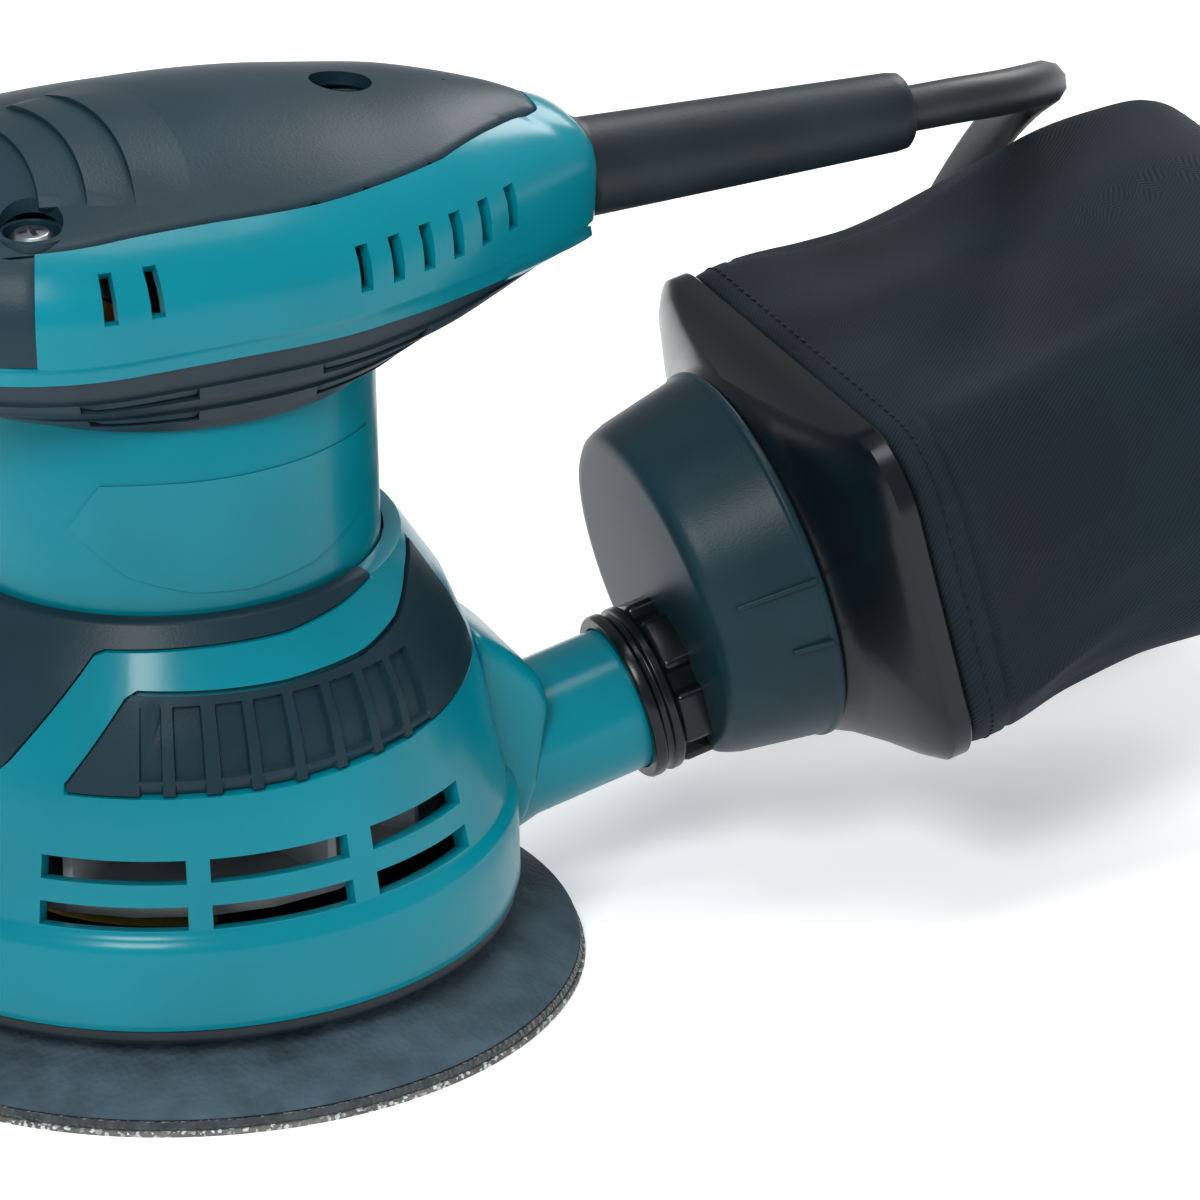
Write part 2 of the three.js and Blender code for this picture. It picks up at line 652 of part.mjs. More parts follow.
// Points where the lead leaves the coil's lowest turn, and from there to the plug, along the floor.
const TAIL_START = [[214.1, 132.7, 3.8], [221.1, 126.8, 3.8], [228.2, 120.9, 3.9], [235, 115.2, 4.1]];
const TAIL_ROUTE = [
  [235.7, 114.6, 4.1], [240, 110, 4.8], [243.7, 103.9, 6.2], [246, 97.1, 8.2], [246.7, 90.4, 9.9],
  [246.7, 86.6, 10.2],
];
const PLUG = { x: 246.7, y: 86.2, z: 10.2, turn: -90 };

const leadTube = (route, steps) => cordAlong(route, CORD_R, 8, steps);

function coilSolid() {
  const body = turned([
    [COIL.inner, 0.1], [COIL.outer, 0.1], [COIL.outer, 13], [49, COIL.top], [38, COIL.top],
    [COIL.inner, 14],
  ]);
  return join(moved(body, COIL.x, COIL.y, 0), leadTube(LEAD_END, 8), leadTube(TAIL_START, 4));
}

const plugFrame = (manifold) =>
  manifold.rotate([0, 0, PLUG.turn]).translate([PLUG.x, PLUG.y, PLUG.z]);

// Flat moulded two-pin plug: a tapering body along X.
function plugBody() {
  const stations = [
    [0, 4.6, 4.6], [12, 5, 5], [18, 8, 6.5], [26, 15, 9], [34, 17.5, 10], [44, 17.5, 10], [46, 16.6, 9.2],
  ];
  const body = loft(stations.map(([x, wide, high]) => {
    const outline = [];
    for (let i = 0; i < 20; i++) {
      const turn = (i / 20) * 2 * Math.PI;
      const square = (v) => Math.sign(v) * Math.abs(v) ** 0.8;
      outline.push([x, wide * square(Math.cos(turn)), high * square(Math.sin(turn))]);
    }
    return outline;
  }));
  return plugFrame(body);
}

function plugPin(side) {
  const pin = turned([[0, 46.3], [2.4, 46.3], [2.4, 64], [1.4, 65.3], [0, 65.3]], 14);
  return plugFrame(pin.rotate([0, 90, 0]).translate([0, side * 9.5, 0]));
}

// ---------------------------------------------------------------- dust nozzle and bag, on [s, y, w]

// Collar that slips over the spout, ribbed pipe and round cap, in one moulding.
function nozzle() {
  const [s0, s1] = CAP_S;
  const across = (profile, w, sides) =>
    turned(profile, sides).rotate([0, 90, 0]).translate([0, 0, w]);
  const collar = across([
    [0, 80.7], [13.7, 80.7], [13.7, 83.2], [13.1, 83.5], [13.9, 83.8], [13.9, 86], [12.9, 86.2],
    [12.9, 97], [0, 97],
  ], SPOUT_W, 24);
  const ribs = [20, 70, 120, 180, 240, 290, 340].map((a) =>
    box(86, 91, -1.2, 1.2, 12, 13.9).rotate([a, 0, 0]).translate([0, 0, SPOUT_W]));
  const drum = across([[0, s0], [27.5, s0], [29, s0 + 1.6], [31, s1], [0, s1]], CAP_W, ROUND);
  const hollow = across([[0, s0 + 2.6], [26.6, s0 + 2.6], [28.4, s1 + 1], [0, s1 + 1]], CAP_W, 28);
  const shell = join(cut(drum, hollow), collar, ...ribs);
  return cut(shell, rodX(SPOUT_R + GAP, 70, SPOUT_TIP + 0.4, SPOUT_W, SPOUT_R + GAP, 24),
    rodX(9.6, 90, 110, SPOUT_W, 9.6, 24));
}

const capSeal = () => ring(22.6, 25.8, 98, 99.8, HIDDEN).rotate([0, 90, 0]).translate([0, 0, CAP_W]);

const FRAME_HALF_Y = 46;
const FRAME_W = [0.2, 59.8];
const FRAME_SIDES = 28;

// Rounded rectangle across s, inset from the frame's outline.
function frameOutline(s, inset, corner = 12) {
  const [halfY, halfW] = [FRAME_HALF_Y - inset, (FRAME_W[1] - FRAME_W[0]) / 2 - inset];
  const middle = (FRAME_W[0] + FRAME_W[1]) / 2;
  const r = Math.max(corner - inset, 3);
  const outline = [];
  for (let i = 0; i < FRAME_SIDES; i++) {
    const turn = ((i + 0.5) / FRAME_SIDES) * 2 * Math.PI;
    const [c, d] = [Math.cos(turn), Math.sin(turn)];
    const y = Math.sign(c) * (halfY - r) + r * c;
    outline.push([s, y, middle + Math.sign(d) * (halfW - r) + r * d]);
  }
  return outline;
}

function capCircle(s, r) {
  return frameOutline(s, 0).map((_, i) => {
    const turn = ((i + 0.5) / FRAME_SIDES) * 2 * Math.PI;
    return [s, r * Math.cos(turn), CAP_W + r * Math.sin(turn)];
  });
}

// Round spigot that turns in the cap, widening to the rectangular mouth of the bag.
function bagFrame() {
  const outer = loft([
    capCircle(100.2, 26), capCircle(109.3, 26), capCircle(109.5, 30), capCircle(111, 31.5),
    frameOutline(FLANGE_S[0], 0), frameOutline(FLANGE_S[1], 0),
  ]);
  const inner = loft([
    capCircle(99, 23), capCircle(110.5, 23), frameOutline(119.6, 4), frameOutline(123.5, 4),
  ]);
  return cut(outer, inner);
}

// The filled fabric bag, a little waisted behind its frame, with a flat hem at the rear end.
function dustBag() {
  const sections = [
    [BAG_S[0], 1.2], [128, 1.4], [150, 2.6], [180, 1.2], [200, 2], [209, 3.2], [BAG_S[1], 7],
  ];
  const body = loft(sections.map(([s, inset]) => frameOutline(s, inset)));
  return join(body, box(BAG_S[1] - 1, 217.5, -38, 38, 28.4, 31.6));
}

// Plastic channel that slides sideways off the hem to open the bag.
const bagFastener = () =>
  cut(box(213, 221, -41, 41, 25, 35), box(212, 218.2, -42, 42, 27.9, 32.1));

// ---------------------------------------------------------------- assembly

const sander = new THREE.Group();

function add(parent, name, look, manifold) {
  const mesh = new THREE.Mesh(geometryOf(manifold), looks[look]);
  mesh.name = name;
  parent.add(mesh);
}

const pad = new THREE.Group();
pad.position.x = ORBIT;
sander.add(pad);
add(pad, "sanding_disc", "abrasive", sandingDisc());
add(pad, "hook_face", "hooks", hookFace());
add(pad, "pad_foam", "foam", padFoam());
add(pad, "pad_plate", "blackPlastic", padPlate());
add(pad, "pad_screw", "steel", padScrew());
add(pad, "pad_bearing", "steel", padBearing());

add(sander, "eccentric_hub", "steel", eccentricHub());
add(sander, "counterweight", "brass", counterweight());
add(sander, "fan", "castFan", fan());
add(sander, "armature_shaft", "steel", armatureShaft());
add(sander, "armature_core", "lamination", armatureCore());
add(sander, "winding_lower", "copper", windingHead(57.5, 63.7, [12.5, 15]));
add(sander, "winding_upper", "copper", windingHead(96.3, 103.6, [15, 10.5]));
add(sander, "commutator", "copper", commutator());
add(sander, "lower_bearing", "steel", ballBearing(10.6, 46.5, 54));
add(sander, "upper_bearing", "steel", ballBearing(8, 118.2, 124.6));
add(sander, "stator_core", "lamination", statorCore());
for (const [name, side] of [["rear", 1], ["front", -1]])
  add(sander, `field_coil_${name}`, "copper", fieldCoil(side));
for (const [name, side] of [["right", 1], ["left", -1]]) {
  add(sander, `brush_holder_${name}`, "brass", brushHolder(side));
  add(sander, `carbon_brush_${name}`, "carbon", carbonBrush(side));
  add(sander, `brush_spring_${name}`, "steel", brushSpring(side));
}

add(sander, "base_housing", "shell", baseHousing());
for (const [name, side] of [["right", 1], ["left", -1]])
  add(sander, `side_panel_${name}`, "grip", sidePanel(side));
add(sander, "shoulder_grip", "grip", shoulderGrip());
add(sander, "brake_ring", "rubber", brakeRing());
add(sander, "bearing_plate", "blackPlastic", bearingPlate());
add(sander, "dust_spout", "shell", dustSpout());
add(sander, "neck_housing", "shell", neckHousing());
add(sander, "waist_band", "grip", waistBand());
add(sander, "bearing_bridge", "blackPlastic", bearingBridge());
add(sander, "head_shell", "shell", headShell());
add(sander, "top_cover", "grip", topCover());
for (const [name, x, y, z] of COVER_SCREWS)
  add(sander, `cover_screw_${name}`, "steel", coverScrew(x, y, z));
add(sander, "switch_bezel", "blackPlastic", switchBezel());
add(sander, "switch_body", "blackPlastic", switchBody());
add(sander, "switch_rocker", "rubber", switchRocker());
add(sander, "cord_guard", "rubber", cordGuard());
add(sander, "cord_clamp", "blackPlastic", cordClamp());
add(sander, "cord", "rubber", leadTube(LEAD_ROUTE, 24));
add(sander, "cord_coil", "rubber", coilSolid());
add(sander, "cord_tail", "rubber", leadTube(TAIL_ROUTE, 6));
add(sander, "plug_body", "rubber", plugBody());
for (const [name, side] of [["a", 1], ["b", -1]])
  add(sander, `plug_pin_${name}`, "steel", plugPin(side));

const bagUnit = new THREE.Group();
bagUnit.rotation.y = -rad(SPOUT_TILT);
sander.add(bagUnit);
add(bagUnit, "nozzle", "capPlastic", nozzle());
add(bagUnit, "cap_seal", "rubber", capSeal());
add(bagUnit, "bag_frame", "blackPlastic", bagFrame());
add(bagUnit, "dust_bag", "cloth", dustBag());
add(bagUnit, "bag_fastener", "blackPlastic", bagFastener());

export default sander;
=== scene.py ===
import math

import bmesh
import bpy
from mathutils import Matrix, Vector, noise


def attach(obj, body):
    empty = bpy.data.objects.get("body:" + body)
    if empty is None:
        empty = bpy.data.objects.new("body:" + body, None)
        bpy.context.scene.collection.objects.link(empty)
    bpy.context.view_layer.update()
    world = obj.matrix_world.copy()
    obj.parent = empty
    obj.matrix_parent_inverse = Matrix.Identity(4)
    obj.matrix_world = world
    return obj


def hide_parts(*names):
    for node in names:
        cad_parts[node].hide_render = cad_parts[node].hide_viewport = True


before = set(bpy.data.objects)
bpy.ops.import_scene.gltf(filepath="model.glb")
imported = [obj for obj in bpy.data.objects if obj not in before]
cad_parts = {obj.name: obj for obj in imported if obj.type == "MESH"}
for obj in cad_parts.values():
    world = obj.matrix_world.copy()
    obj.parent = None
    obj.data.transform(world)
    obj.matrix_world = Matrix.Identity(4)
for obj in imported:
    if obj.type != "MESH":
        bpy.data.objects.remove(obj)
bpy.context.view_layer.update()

# The sander in metres. +X is its rear, -Y its left-hand side, and the abrasive lies at z = 0.
# Lengths in the lists below are in millimetres.

MM = 0.001
scene = bpy.context.scene

# ------------------------------------------------------------------ camera

CAMERA_PLACE = (-0.4893, -1.3442, 0.6972)
CAMERA_RIGHT = Vector((0.91865, -0.39452, -0.02120))
CAMERA_UP = Vector((0.17834, 0.36617, 0.91330))

lens = bpy.data.cameras.new("studio_camera")
lens.lens = 300
lens.sensor_width = 36
lens.clip_end = 20
camera = bpy.data.objects.new("studio_camera", lens)
axes = Matrix((CAMERA_RIGHT, CAMERA_UP, CAMERA_RIGHT.cross(CAMERA_UP))).transposed()
camera.matrix_world = Matrix.Translation(CAMERA_PLACE) @ axes.to_4x4()
scene.collection.objects.link(camera)
scene.camera = camera

# ------------------------------------------------------------------ lead

LEAD_R = 3.7
LEAD_ROUTE = [
    (127.3, 0, 122.9), (136, 0.4, 122.8), (145, 3, 121.6), (153.5, 9, 119.3), (160, 17.5, 115.8),
    (164, 27.5, 111), (165.5, 38, 104.5), (165, 47.5, 96), (163, 55.5, 85.5), (160, 62, 73.5),
    (156.5, 66.5, 62), (152.6, 71, 49), (149.3, 76.5, 38.4), (146.6, 82.3, 30.2),
    (144.75, 87.9, 25.2), (143.9, 92.5, 22.5), (143.5, 98, 20.2),
]
COIL_CENTRE = (185, 98)
COIL_STEP = 15  # degrees between two points of the coil
COIL_TURNS = 7  # one on top, then a middle and a lower row of three
COIL_START = 186  # azimuths in degrees where the lead joins the coil and leaves it
COIL_END = 50
COIL_TURNED = 360 * COIL_TURNS + COIL_START - COIL_END
COIL_HEIGHTS = [
    (15, 18.4), (30, 17.5), (330, 17.5), (400, 11.2), (1400, 11.2), (1475, 3.8), (COIL_TURNED, 3.8),
]
COIL_RADII = [
    (0, 41.5), (330, 43.5), (400, 45.3), (1400, 30.5), (1475, 30.5), (COIL_TURNED - 30, 45.3),
    (COIL_TURNED, 45.3),
]
TAIL_ROUTE = [
    (221.1, 126.8, 3.8), (228.2, 120.9, 3.9), (234.8, 115.4, 4.1), (240, 110, 4.8), (243.7, 103.9, 6.2),
    (246, 97.1, 8.2), (246.6, 90.4, 9.75), (246.7, 86.6, 10.2),
]


def between(pairs, key):
    """Straight-line interpolation in a list of (key, value) pairs."""
    for (k0, v0), (k1, v1) in zip(pairs, pairs[1:]):
        if key <= k1:
            return v0 + (v1 - v0) * max(0, (key - k0) / (k1 - k0))
    return pairs[-1][1]


def coil_points():
    """The coil's turns, clockwise from above, as their height and radius change with the degrees turned."""
    points = []
    for turned in range(COIL_STEP, COIL_TURNED, COIL_STEP):
        angle = math.radians(COIL_START - turned)
        r = between(COIL_RADII, turned)
        x, y = COIL_CENTRE
        points.append((x + r * math.cos(angle), y + r * math.sin(angle), between(COIL_HEIGHTS, turned)))
    return points


ROUTE = LEAD_ROUTE + coil_points() + TAIL_ROUTE

curve = bpy.data.curves.new("mains_lead", "CURVE")
curve.dimensions = "3D"
curve.bevel_depth = 1
curve.bevel_resolution = 3
curve.resolution_u = 3
curve.use_fill_caps = True
line = curve.splines.new("BEZIER")
line.bezier_points.add(len(ROUTE) - 1)
for knot, point in zip(line.bezier_points, ROUTE):
    knot.co = Vector(point) * MM
    knot.handle_left_type = knot.handle_right_type = "AUTO"
    knot.radius = LEAD_R * MM
lead = bpy.data.objects.new("mains_lead", curve)
scene.collection.objects.link(lead)
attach(lead, "housing")
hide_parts("cord", "cord_coil", "cord_tail")

# ------------------------------------------------------------------ materials


def colour(code):
    """The linear RGBA colour of an sRGB hex code."""
    parts = [int(code[i : i + 2], 16) / 255 for i in (1, 3, 5)]
    return (*[p / 12.92 if p <= 0.04045 else ((p + 0.055) / 1.055) ** 2.4 for p in parts], 1)


def add_node(tree, kind, settings, sockets):
    """Adds a node with its settings, and sets each named socket or links it to another node's."""
    made = tree.nodes.new("ShaderNode" + kind)
    for name, value in settings.items():
        setattr(made, name, value)
    for name, value in sockets.items():
        if isinstance(value, bpy.types.NodeSocket):
            tree.links.new(value, made.inputs[name])
        else:
            made.inputs[name].default_value = value
    return made


def blank(name):
    """An empty material and its node tree."""
    made = bpy.data.materials.new(name)
    made.use_nodes = True
    made.node_tree.nodes.clear()
    return made, made.node_tree


def drifting(tree, where, dark, light, patch):
    """A colour that drifts between two tones over patches of that many millimetres."""
    cloud = add_node(tree, "TexNoise", {}, {"Vector": where, "Scale": 1 / (patch * MM), "Detail": 3.0})
    tones = add_node(tree, "ValToRGB", {}, {"Fac": cloud.outputs["Fac"]})
    tones.color_ramp.elements[0].position, tones.color_ramp.elements[1].position = 0.3, 0.7
    tones.color_ramp.elements[0].color = colour(dark)
    tones.color_ramp.elements[1].color = colour(light)
    return tones.outputs["Color"], cloud.outputs["Fac"]


def ranged(tree, value, low, high):
    """A value from 0 to 1 stretched to lie between low and high."""
    spread = add_node(tree, "MapRange", {}, {"Value": value, "To Min": low, "To Max": high})
    return spread.outputs["Result"]


def surface(tree, base, roughness, height, relief, fixed):
    """The shader: relief is the bump's height in millimetres, and fixed holds the even values."""
    bump = add_node(tree, "Bump", {}, {"Height": height, "Distance": relief * MM, "Strength": 1.0})
    sockets = {"Base Color": base, "Roughness": roughness, "Normal": bump.outputs["Normal"], **fixed}
    shader = add_node(tree, "BsdfPrincipled", {}, sockets)
    add_node(tree, "OutputMaterial", {}, {"Surface": shader.outputs["BSDF"]})


def moulded(name, tones, patch, roughness, grain, relief, **fixed):
    """A moulded, cast or drawn finish: two tones in patches, and a fine grain in the surface."""
    made, tree = blank(name)
    where = add_node(tree, "TexCoord", {}, {}).outputs["Object"]
    base, cloud = drifting(tree, where, *tones, patch)
    speck = add_node(tree, "TexNoise", {}, {"Vector": where, "Scale": 1 / (grain * MM), "Detail": 4.0})
    fixed = {key.replace("_", " "): value for key, value in fixed.items()}
    surface(tree, base, ranged(tree, cloud, *roughness), speck.outputs["Fac"], relief, fixed)
    return made


# Glass-filled nylon from a polished mould: clear highlights over a faint orange peel.
shell_nylon = moulded(
    "turquoise_polished_nylon", ("#006d7b", "#008090"), 60, (0.2, 0.3), 2.4, 0.012, IOR=1.5,
    Specular_IOR_Level=0.18, Coat_Weight=0.06, Coat_Roughness=0.1,
)
# Thermoplastic elastomer from a spark-eroded mould: soft wide highlights and a matt grain.
grip_elastomer = moulded(
    "charcoal_soft_elastomer", ("#12262e", "#1b343f"), 45, (0.34, 0.46), 0.5, 0.03, IOR=1.48,
    Specular_IOR_Level=0.2,
)
# The same elastomer on the flared waist, in slightly darker tones: painted shade for the shade under the
# head.
waist_elastomer_painted_shade = moulded(
    "charcoal_waist_elastomer_painted_shade", ("#14232c", "#1f313c"), 40, (0.36, 0.48), 0.5, 0.03, IOR=1.48,
    Specular_IOR_Level=0.3,
)
# Polypropylene from a polished mould: sharper highlights on a bluish black.
frame_plastic = moulded(
    "black_polished_polypropylene", ("#05090c", "#0b1216"), 50, (0.2, 0.3), 1.8, 0.02, IOR=1.49,
    Specular_IOR_Level=0.3,
)
# Polyamide from a fine-textured mould: dark grey with an even sheen.
cap_plastic = moulded(
    "grey_textured_polyamide", ("#14282f", "#1d363f"), 35, (0.3, 0.4), 0.45, 0.025, IOR=1.52,
    Specular_IOR_Level=0.12,
)
# Vulcanised rubber: matt, with a trace of release powder in its grain.
black_rubber = moulded(
    "black_matt_rubber", ("#101b20", "#18262c"), 20, (0.42, 0.56), 0.6, 0.04, IOR=1.52,
    Specular_IOR_Level=0.3,
)
# PVC sheath of a lead: extruded, so its sheen is even along it.
lead_rubber = moulded(
    "black_extruded_sheath", ("#14181a", "#1d2326"), 30, (0.42, 0.55), 1.2, 0.03, IOR=1.52
)
# Bright zinc on small steel parts: cool and slightly clouded.
zinc_steel = moulded(
    "zinc_plated_steel", ("#8e9598", "#b4babd"), 6, (0.25, 0.4), 0.5, 0.01, Metallic=1.0
)
# Nickel on brass pins: warm, bright, with fine drawing marks.
nickel_pins = moulded(
    "nickel_plated_brass", ("#b5b09f", "#cfcabb"), 5, (0.18, 0.3), 0.4, 0.01, Metallic=1.0
)
# Silicon-steel sheets pressed in a stack: dull grey.
stacked_steel = moulded(
    "stacked_silicon_steel", ("#55585a", "#6f7274"), 8, (0.45, 0.6), 0.5, 0.05, Metallic=0.9
)
# Enamelled winding wire: copper under clear brown lacquer.
winding_copper = moulded(
    "enamelled_copper_wire", ("#8b4a22", "#b4683a"), 5, (0.3, 0.45), 0.8, 0.15, Metallic=0.9
)
# Turned brass of the brush holders.
turned_brass = moulded("turned_brass", ("#9b7d3c", "#b89a55"), 6, (0.3, 0.42), 0.5, 0.01, Metallic=1.0)
# Pressed carbon of the brushes: soft black with a grey bloom.
pressed_carbon = moulded("pressed_carbon", ("#1d1f20", "#303335"), 3, (0.6, 0.75), 0.3, 0.03)
# Die-cast zinc alloy of the fan: light grey with a dry, slightly mottled skin.
cast_alloy = moulded(
    "die_cast_zinc_alloy", ("#b9c0c3", "#dde1e3"), 7, (0.4, 0.55), 0.8, 0.05, Metallic=0.15
)

# Nylon twill: diagonal ribs over crossing threads. Its ribs are 0.5 mm apart in the cloth and are
# drawn 1 mm apart, so that they show.
TWILL_RIB = 1.0
bag_cloth, tree = blank("navy_black_nylon_twill")
where = add_node(tree, "TexCoord", {}, {}).outputs["UV"]
rib = add_node(
    tree, "TexWave", {"bands_direction": "DIAGONAL"},
    {"Vector": where, "Scale": 0.628 / (TWILL_RIB * MM), "Distortion": 0.6, "Detail": 1.0},
)
faded, fading = drifting(tree, where, "#08141b", "#0e1f28", 30)
ribbed = add_node(
    tree, "Mix", {"data_type": "RGBA", "blend_type": "OVERLAY"},
    {0: 0.25, 6: faded, 7: rib.outputs["Color"]},
)
surface(
    tree, ribbed.outputs[2], ranged(tree, fading, 0.7, 0.85), rib.outputs["Fac"], 0.07,
    {"Specular IOR Level": 0.2, "Sheen Weight": 0.03, "Sheen Roughness": 0.4},
)

# Open-cell polyurethane foam, skinned by its mould: grey, with fine pores and dust in them.
foam_skin, tree = blank("grey_moulded_foam")
where = add_node(tree, "TexCoord", {}, {}).outputs["Object"]
base, cloud = drifting(tree, where, "#24353f", "#3f5460", 9)
pores = add_node(tree, "TexVoronoi", {}, {"Vector": where, "Scale": 1 / (1.1 * MM)})
surface(tree, base, ranged(tree, cloud, 0.75, 0.95), pores.outputs["Distance"], 0.18, {})

# Nylon hooks on a woven backing: a dense dark pile that scatters the light.
hook_pile, tree = blank("charcoal_hook_pile")
where = add_node(tree, "TexCoord", {}, {}).outputs["Object"]
base, cloud = drifting(tree, where, "#20282c", "#394449", 3)
tips = add_node(tree, "TexVoronoi", {}, {"Vector": where, "Scale": 1 / (0.9 * MM)})
surface(
    tree, base, ranged(tree, cloud, 0.85, 1.0), tips.outputs["Distance"], 0.5, {"Sheen Weight": 0.3}
)

# Aluminium-oxide grit on paper: brown-grey grains, with pale specks painted on some of them as glints, that
# is painted highlights of their facets. The grit is 0.3 mm across and is drawn 0.6 mm across, so that it
# shows.
grit_paper, tree = blank("aluminium_oxide_grit")
where = add_node(tree, "TexCoord", {}, {}).outputs["Object"]
base, cloud = drifting(tree, where, "#4a4b48", "#74756f", 12)
grains = add_node(tree, "TexVoronoi", {}, {"Vector": where, "Scale": 1 / (0.6 * MM)})
# Painted glints: the pale colour #c9cfd0 in some grain cells stands for light caught by their facets.
painted_glints = add_node(tree, "ValToRGB", {}, {"Fac": grains.outputs["Color"]})
painted_glints.color_ramp.elements[0].position, painted_glints.color_ramp.elements[1].position = 0.62, 0.8
grit_with_painted_glints = add_node(
    tree, "Mix", {"data_type": "RGBA"},
    {0: painted_glints.outputs["Color"], 6: base, 7: colour("#c9cfd0")},
)
surface(tree, grit_with_painted_glints.outputs[2], ranged(tree, cloud, 0.6, 0.9), grains.outputs["Distance"], 0.3, {})

FINISHES = {
    "shell": shell_nylon, "grip": grip_elastomer, "black_plastic": frame_plastic,
    "cap_plastic": cap_plastic, "rubber": black_rubber, "cord_rubber": lead_rubber,
    "cloth": bag_cloth, "foam": foam_skin, "hooks": hook_pile, "abrasive": grit_paper,
    "steel": zinc_steel, "plated_pin": nickel_pins, "lamination": stacked_steel,
    "copper": winding_copper, "carbon": pressed_carbon, "brass": turned_brass, "cast_fan": cast_alloy,
}
curve.materials.append(lead_rubber)

# ------------------------------------------------------------------ making pieces

def rotation(degrees, axis):
    """A turn about one of the axes."""
    return Matrix.Rotation(math.radians(degrees), 4, axis)


def moved(bm, place):
    """The same bmesh, moved to its place."""
    bmesh.ops.transform(bm, matrix=place, verts=bm.verts)
    return bm


def rows_of(table):
    """The row numbers of a table."""
    return list(range(len(table)))


def ramp(x, zero, one):
    """Rises from 0 at zero to 1 at one, or falls where one lies below zero."""
    return min(1, max(0, (x - zero) / (one - zero)))


ALONG_X = rotation(90, "Y")  # turns a spun outline's axis from Z to X
SPOUT_TILT = rotation(-13, "Y")  # the rising axis of the spout and the bag


def at(x, y, z):
    """A move by millimetres."""
    return Matrix.Translation((x * MM, y * MM, z * MM))


def flowing(pairs, key):
    """Smooth interpolation in a list of (key, value) pairs."""
    if key <= pairs[0][0]:
        return pairs[0][1]
    if key >= pairs[-1][0]:
        return pairs[-1][1]
    i = next(i for i in range(1, len(pairs)) if key <= pairs[i][0])

    def slope(k):
        a, b = pairs[max(k - 1, 0)], pairs[min(k + 1, len(pairs) - 1)]
        return (b[1] - a[1]) / (b[0] - a[0])

    (k0, v0), (k1, v1) = pairs[i - 1], pairs[i]
    span = k1 - k0
    t = (key - k0) / span
    return (
        v0 * (2 * t**3 - 3 * t**2 + 1) + v1 * (3 * t**2 - 2 * t**3)
        + span * (slope(i - 1) * (t**3 - 2 * t**2 + t) + slope(i) * (t**3 - t**2))
    )


def spaced(first, last, step):
    """Even numbers from first to last, about a step apart."""
    count = max(1, round(abs(last - first) / step))
    return [first + (last - first) * i / count for i in range(count + 1)]


def spun(outline, turns=96, place=Matrix.Identity(4)):
    """A solid of revolution: a closed [radius, height] outline, or one that ends on its axis."""
    bm = bmesh.new()
    corners = [bm.verts.new((r * MM, 0, z * MM)) for r, z in outline]
    edges = [bm.edges.new(pair) for pair in zip(corners, corners[1:])]
    if outline[0][0] or outline[-1][0]:
        edges.append(bm.edges.new((corners[-1], corners[0])))
    bmesh.ops.spin(
        bm, geom=corners + edges, cent=(0, 0, 0), axis=(0, 0, 1), angle=2 * math.pi, steps=turns,
        use_merge=True,
    )
    return moved(bm, place)


def skin(across, up, place, keep=None, inside=None):
    """A grid with a corner at place(u, v) for each u of across and v of up, in millimetres.

    Cells that keep(u, v) refuses, asked at their middles, are left out. Faces point away from
    inside(point), which is the nearest point of the upright axis where it isn't given."""
    bm = bmesh.new()
    wide, high = len(across) - 1, len(up) - 1
    bmesh.ops.create_grid(bm, x_segments=wide, y_segments=high, size=1)
    if keep:
        refused = []
        for face in bm.faces:
            middle = face.calc_center_median()
            i, j = int((middle.x + 1) / 2 * wide), int((middle.y + 1) / 2 * high)
            if not keep((across[i] + across[i + 1]) / 2, (up[j] + up[j + 1]) / 2):
                refused.append(face)
        bmesh.ops.delete(bm, geom=refused, context="FACES")
    for corner in bm.verts:
        i, j = round((corner.co.x + 1) / 2 * wide), round((corner.co.y + 1) / 2 * high)
        corner.co = Vector(place(across[i], up[j])) * MM
    bmesh.ops.remove_doubles(bm, verts=bm.verts, dist=1e-6)
    bmesh.ops.recalc_face_normals(bm, faces=bm.faces)
    outward = 0
    for face in bm.faces:
        middle = face.calc_center_median()
        centre = Vector(inside(middle / MM)) * MM if inside else Vector((0, 0, middle.z))
        outward += face.normal.dot(middle - centre) * face.calc_area()
    if outward < 0:
        bmesh.ops.reverse_faces(bm, faces=bm.faces)
    return bm


def slab(outline, depth, place, soft=0, segments=3):
    """A flat outline of [x, y] points raised by a depth, with its edges rounded by soft."""
    bm = bmesh.new()
    face = bm.faces.new([bm.verts.new((x * MM, y * MM, 0)) for x, y in outline])
    raised = bmesh.ops.extrude_face_region(bm, geom=[face])["geom"]
    top = [part for part in raised if isinstance(part, bmesh.types.BMVert)]
    bmesh.ops.translate(bm, verts=top, vec=(0, 0, depth * MM))
    bmesh.ops.recalc_face_normals(bm, faces=bm.faces)
    if soft:
        bmesh.ops.bevel(
            bm, geom=bm.edges[:], offset=soft * MM, segments=segments, profile=0.5,
            affect="EDGES", material=-1, clamp_overlap=True,
        )
    return moved(bm, place)


def piece(name, bm, finish, body="housing", instead=(), wall=0, soft=0.35, sheet=False, look=None):
    """Makes the object: wall thickens a sheet inwards, and soft rounds its sharp edges."""
    if not sheet:
        bmesh.ops.remove_doubles(bm, verts=bm.verts, dist=1e-6)
        bmesh.ops.recalc_face_normals(bm, faces=bm.faces)
    mesh = bpy.data.meshes.new(name)
    bm.to_mesh(mesh)
    bm.free()
    mesh.polygons.foreach_set("use_smooth", [True] * len(mesh.polygons))
    mesh.materials.append(look or FINISHES[finish])
    made = bpy.data.objects.new(name, mesh)
    scene.collection.objects.link(made)
    if wall:
        thick = made.modifiers.new("wall", "SOLIDIFY")
        thick.thickness = wall * MM
        thick.offset = -1
    if soft:
        rounding = made.modifiers.new("soft_edges", "BEVEL")
        rounding.width = soft * MM
        rounding.segments = 2
        rounding.limit_method = "ANGLE"
        rounding.angle_limit = math.radians(38)
        rounding.harden_normals = True
    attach(made, body)
    if instead:
        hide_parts(*instead)
    return made


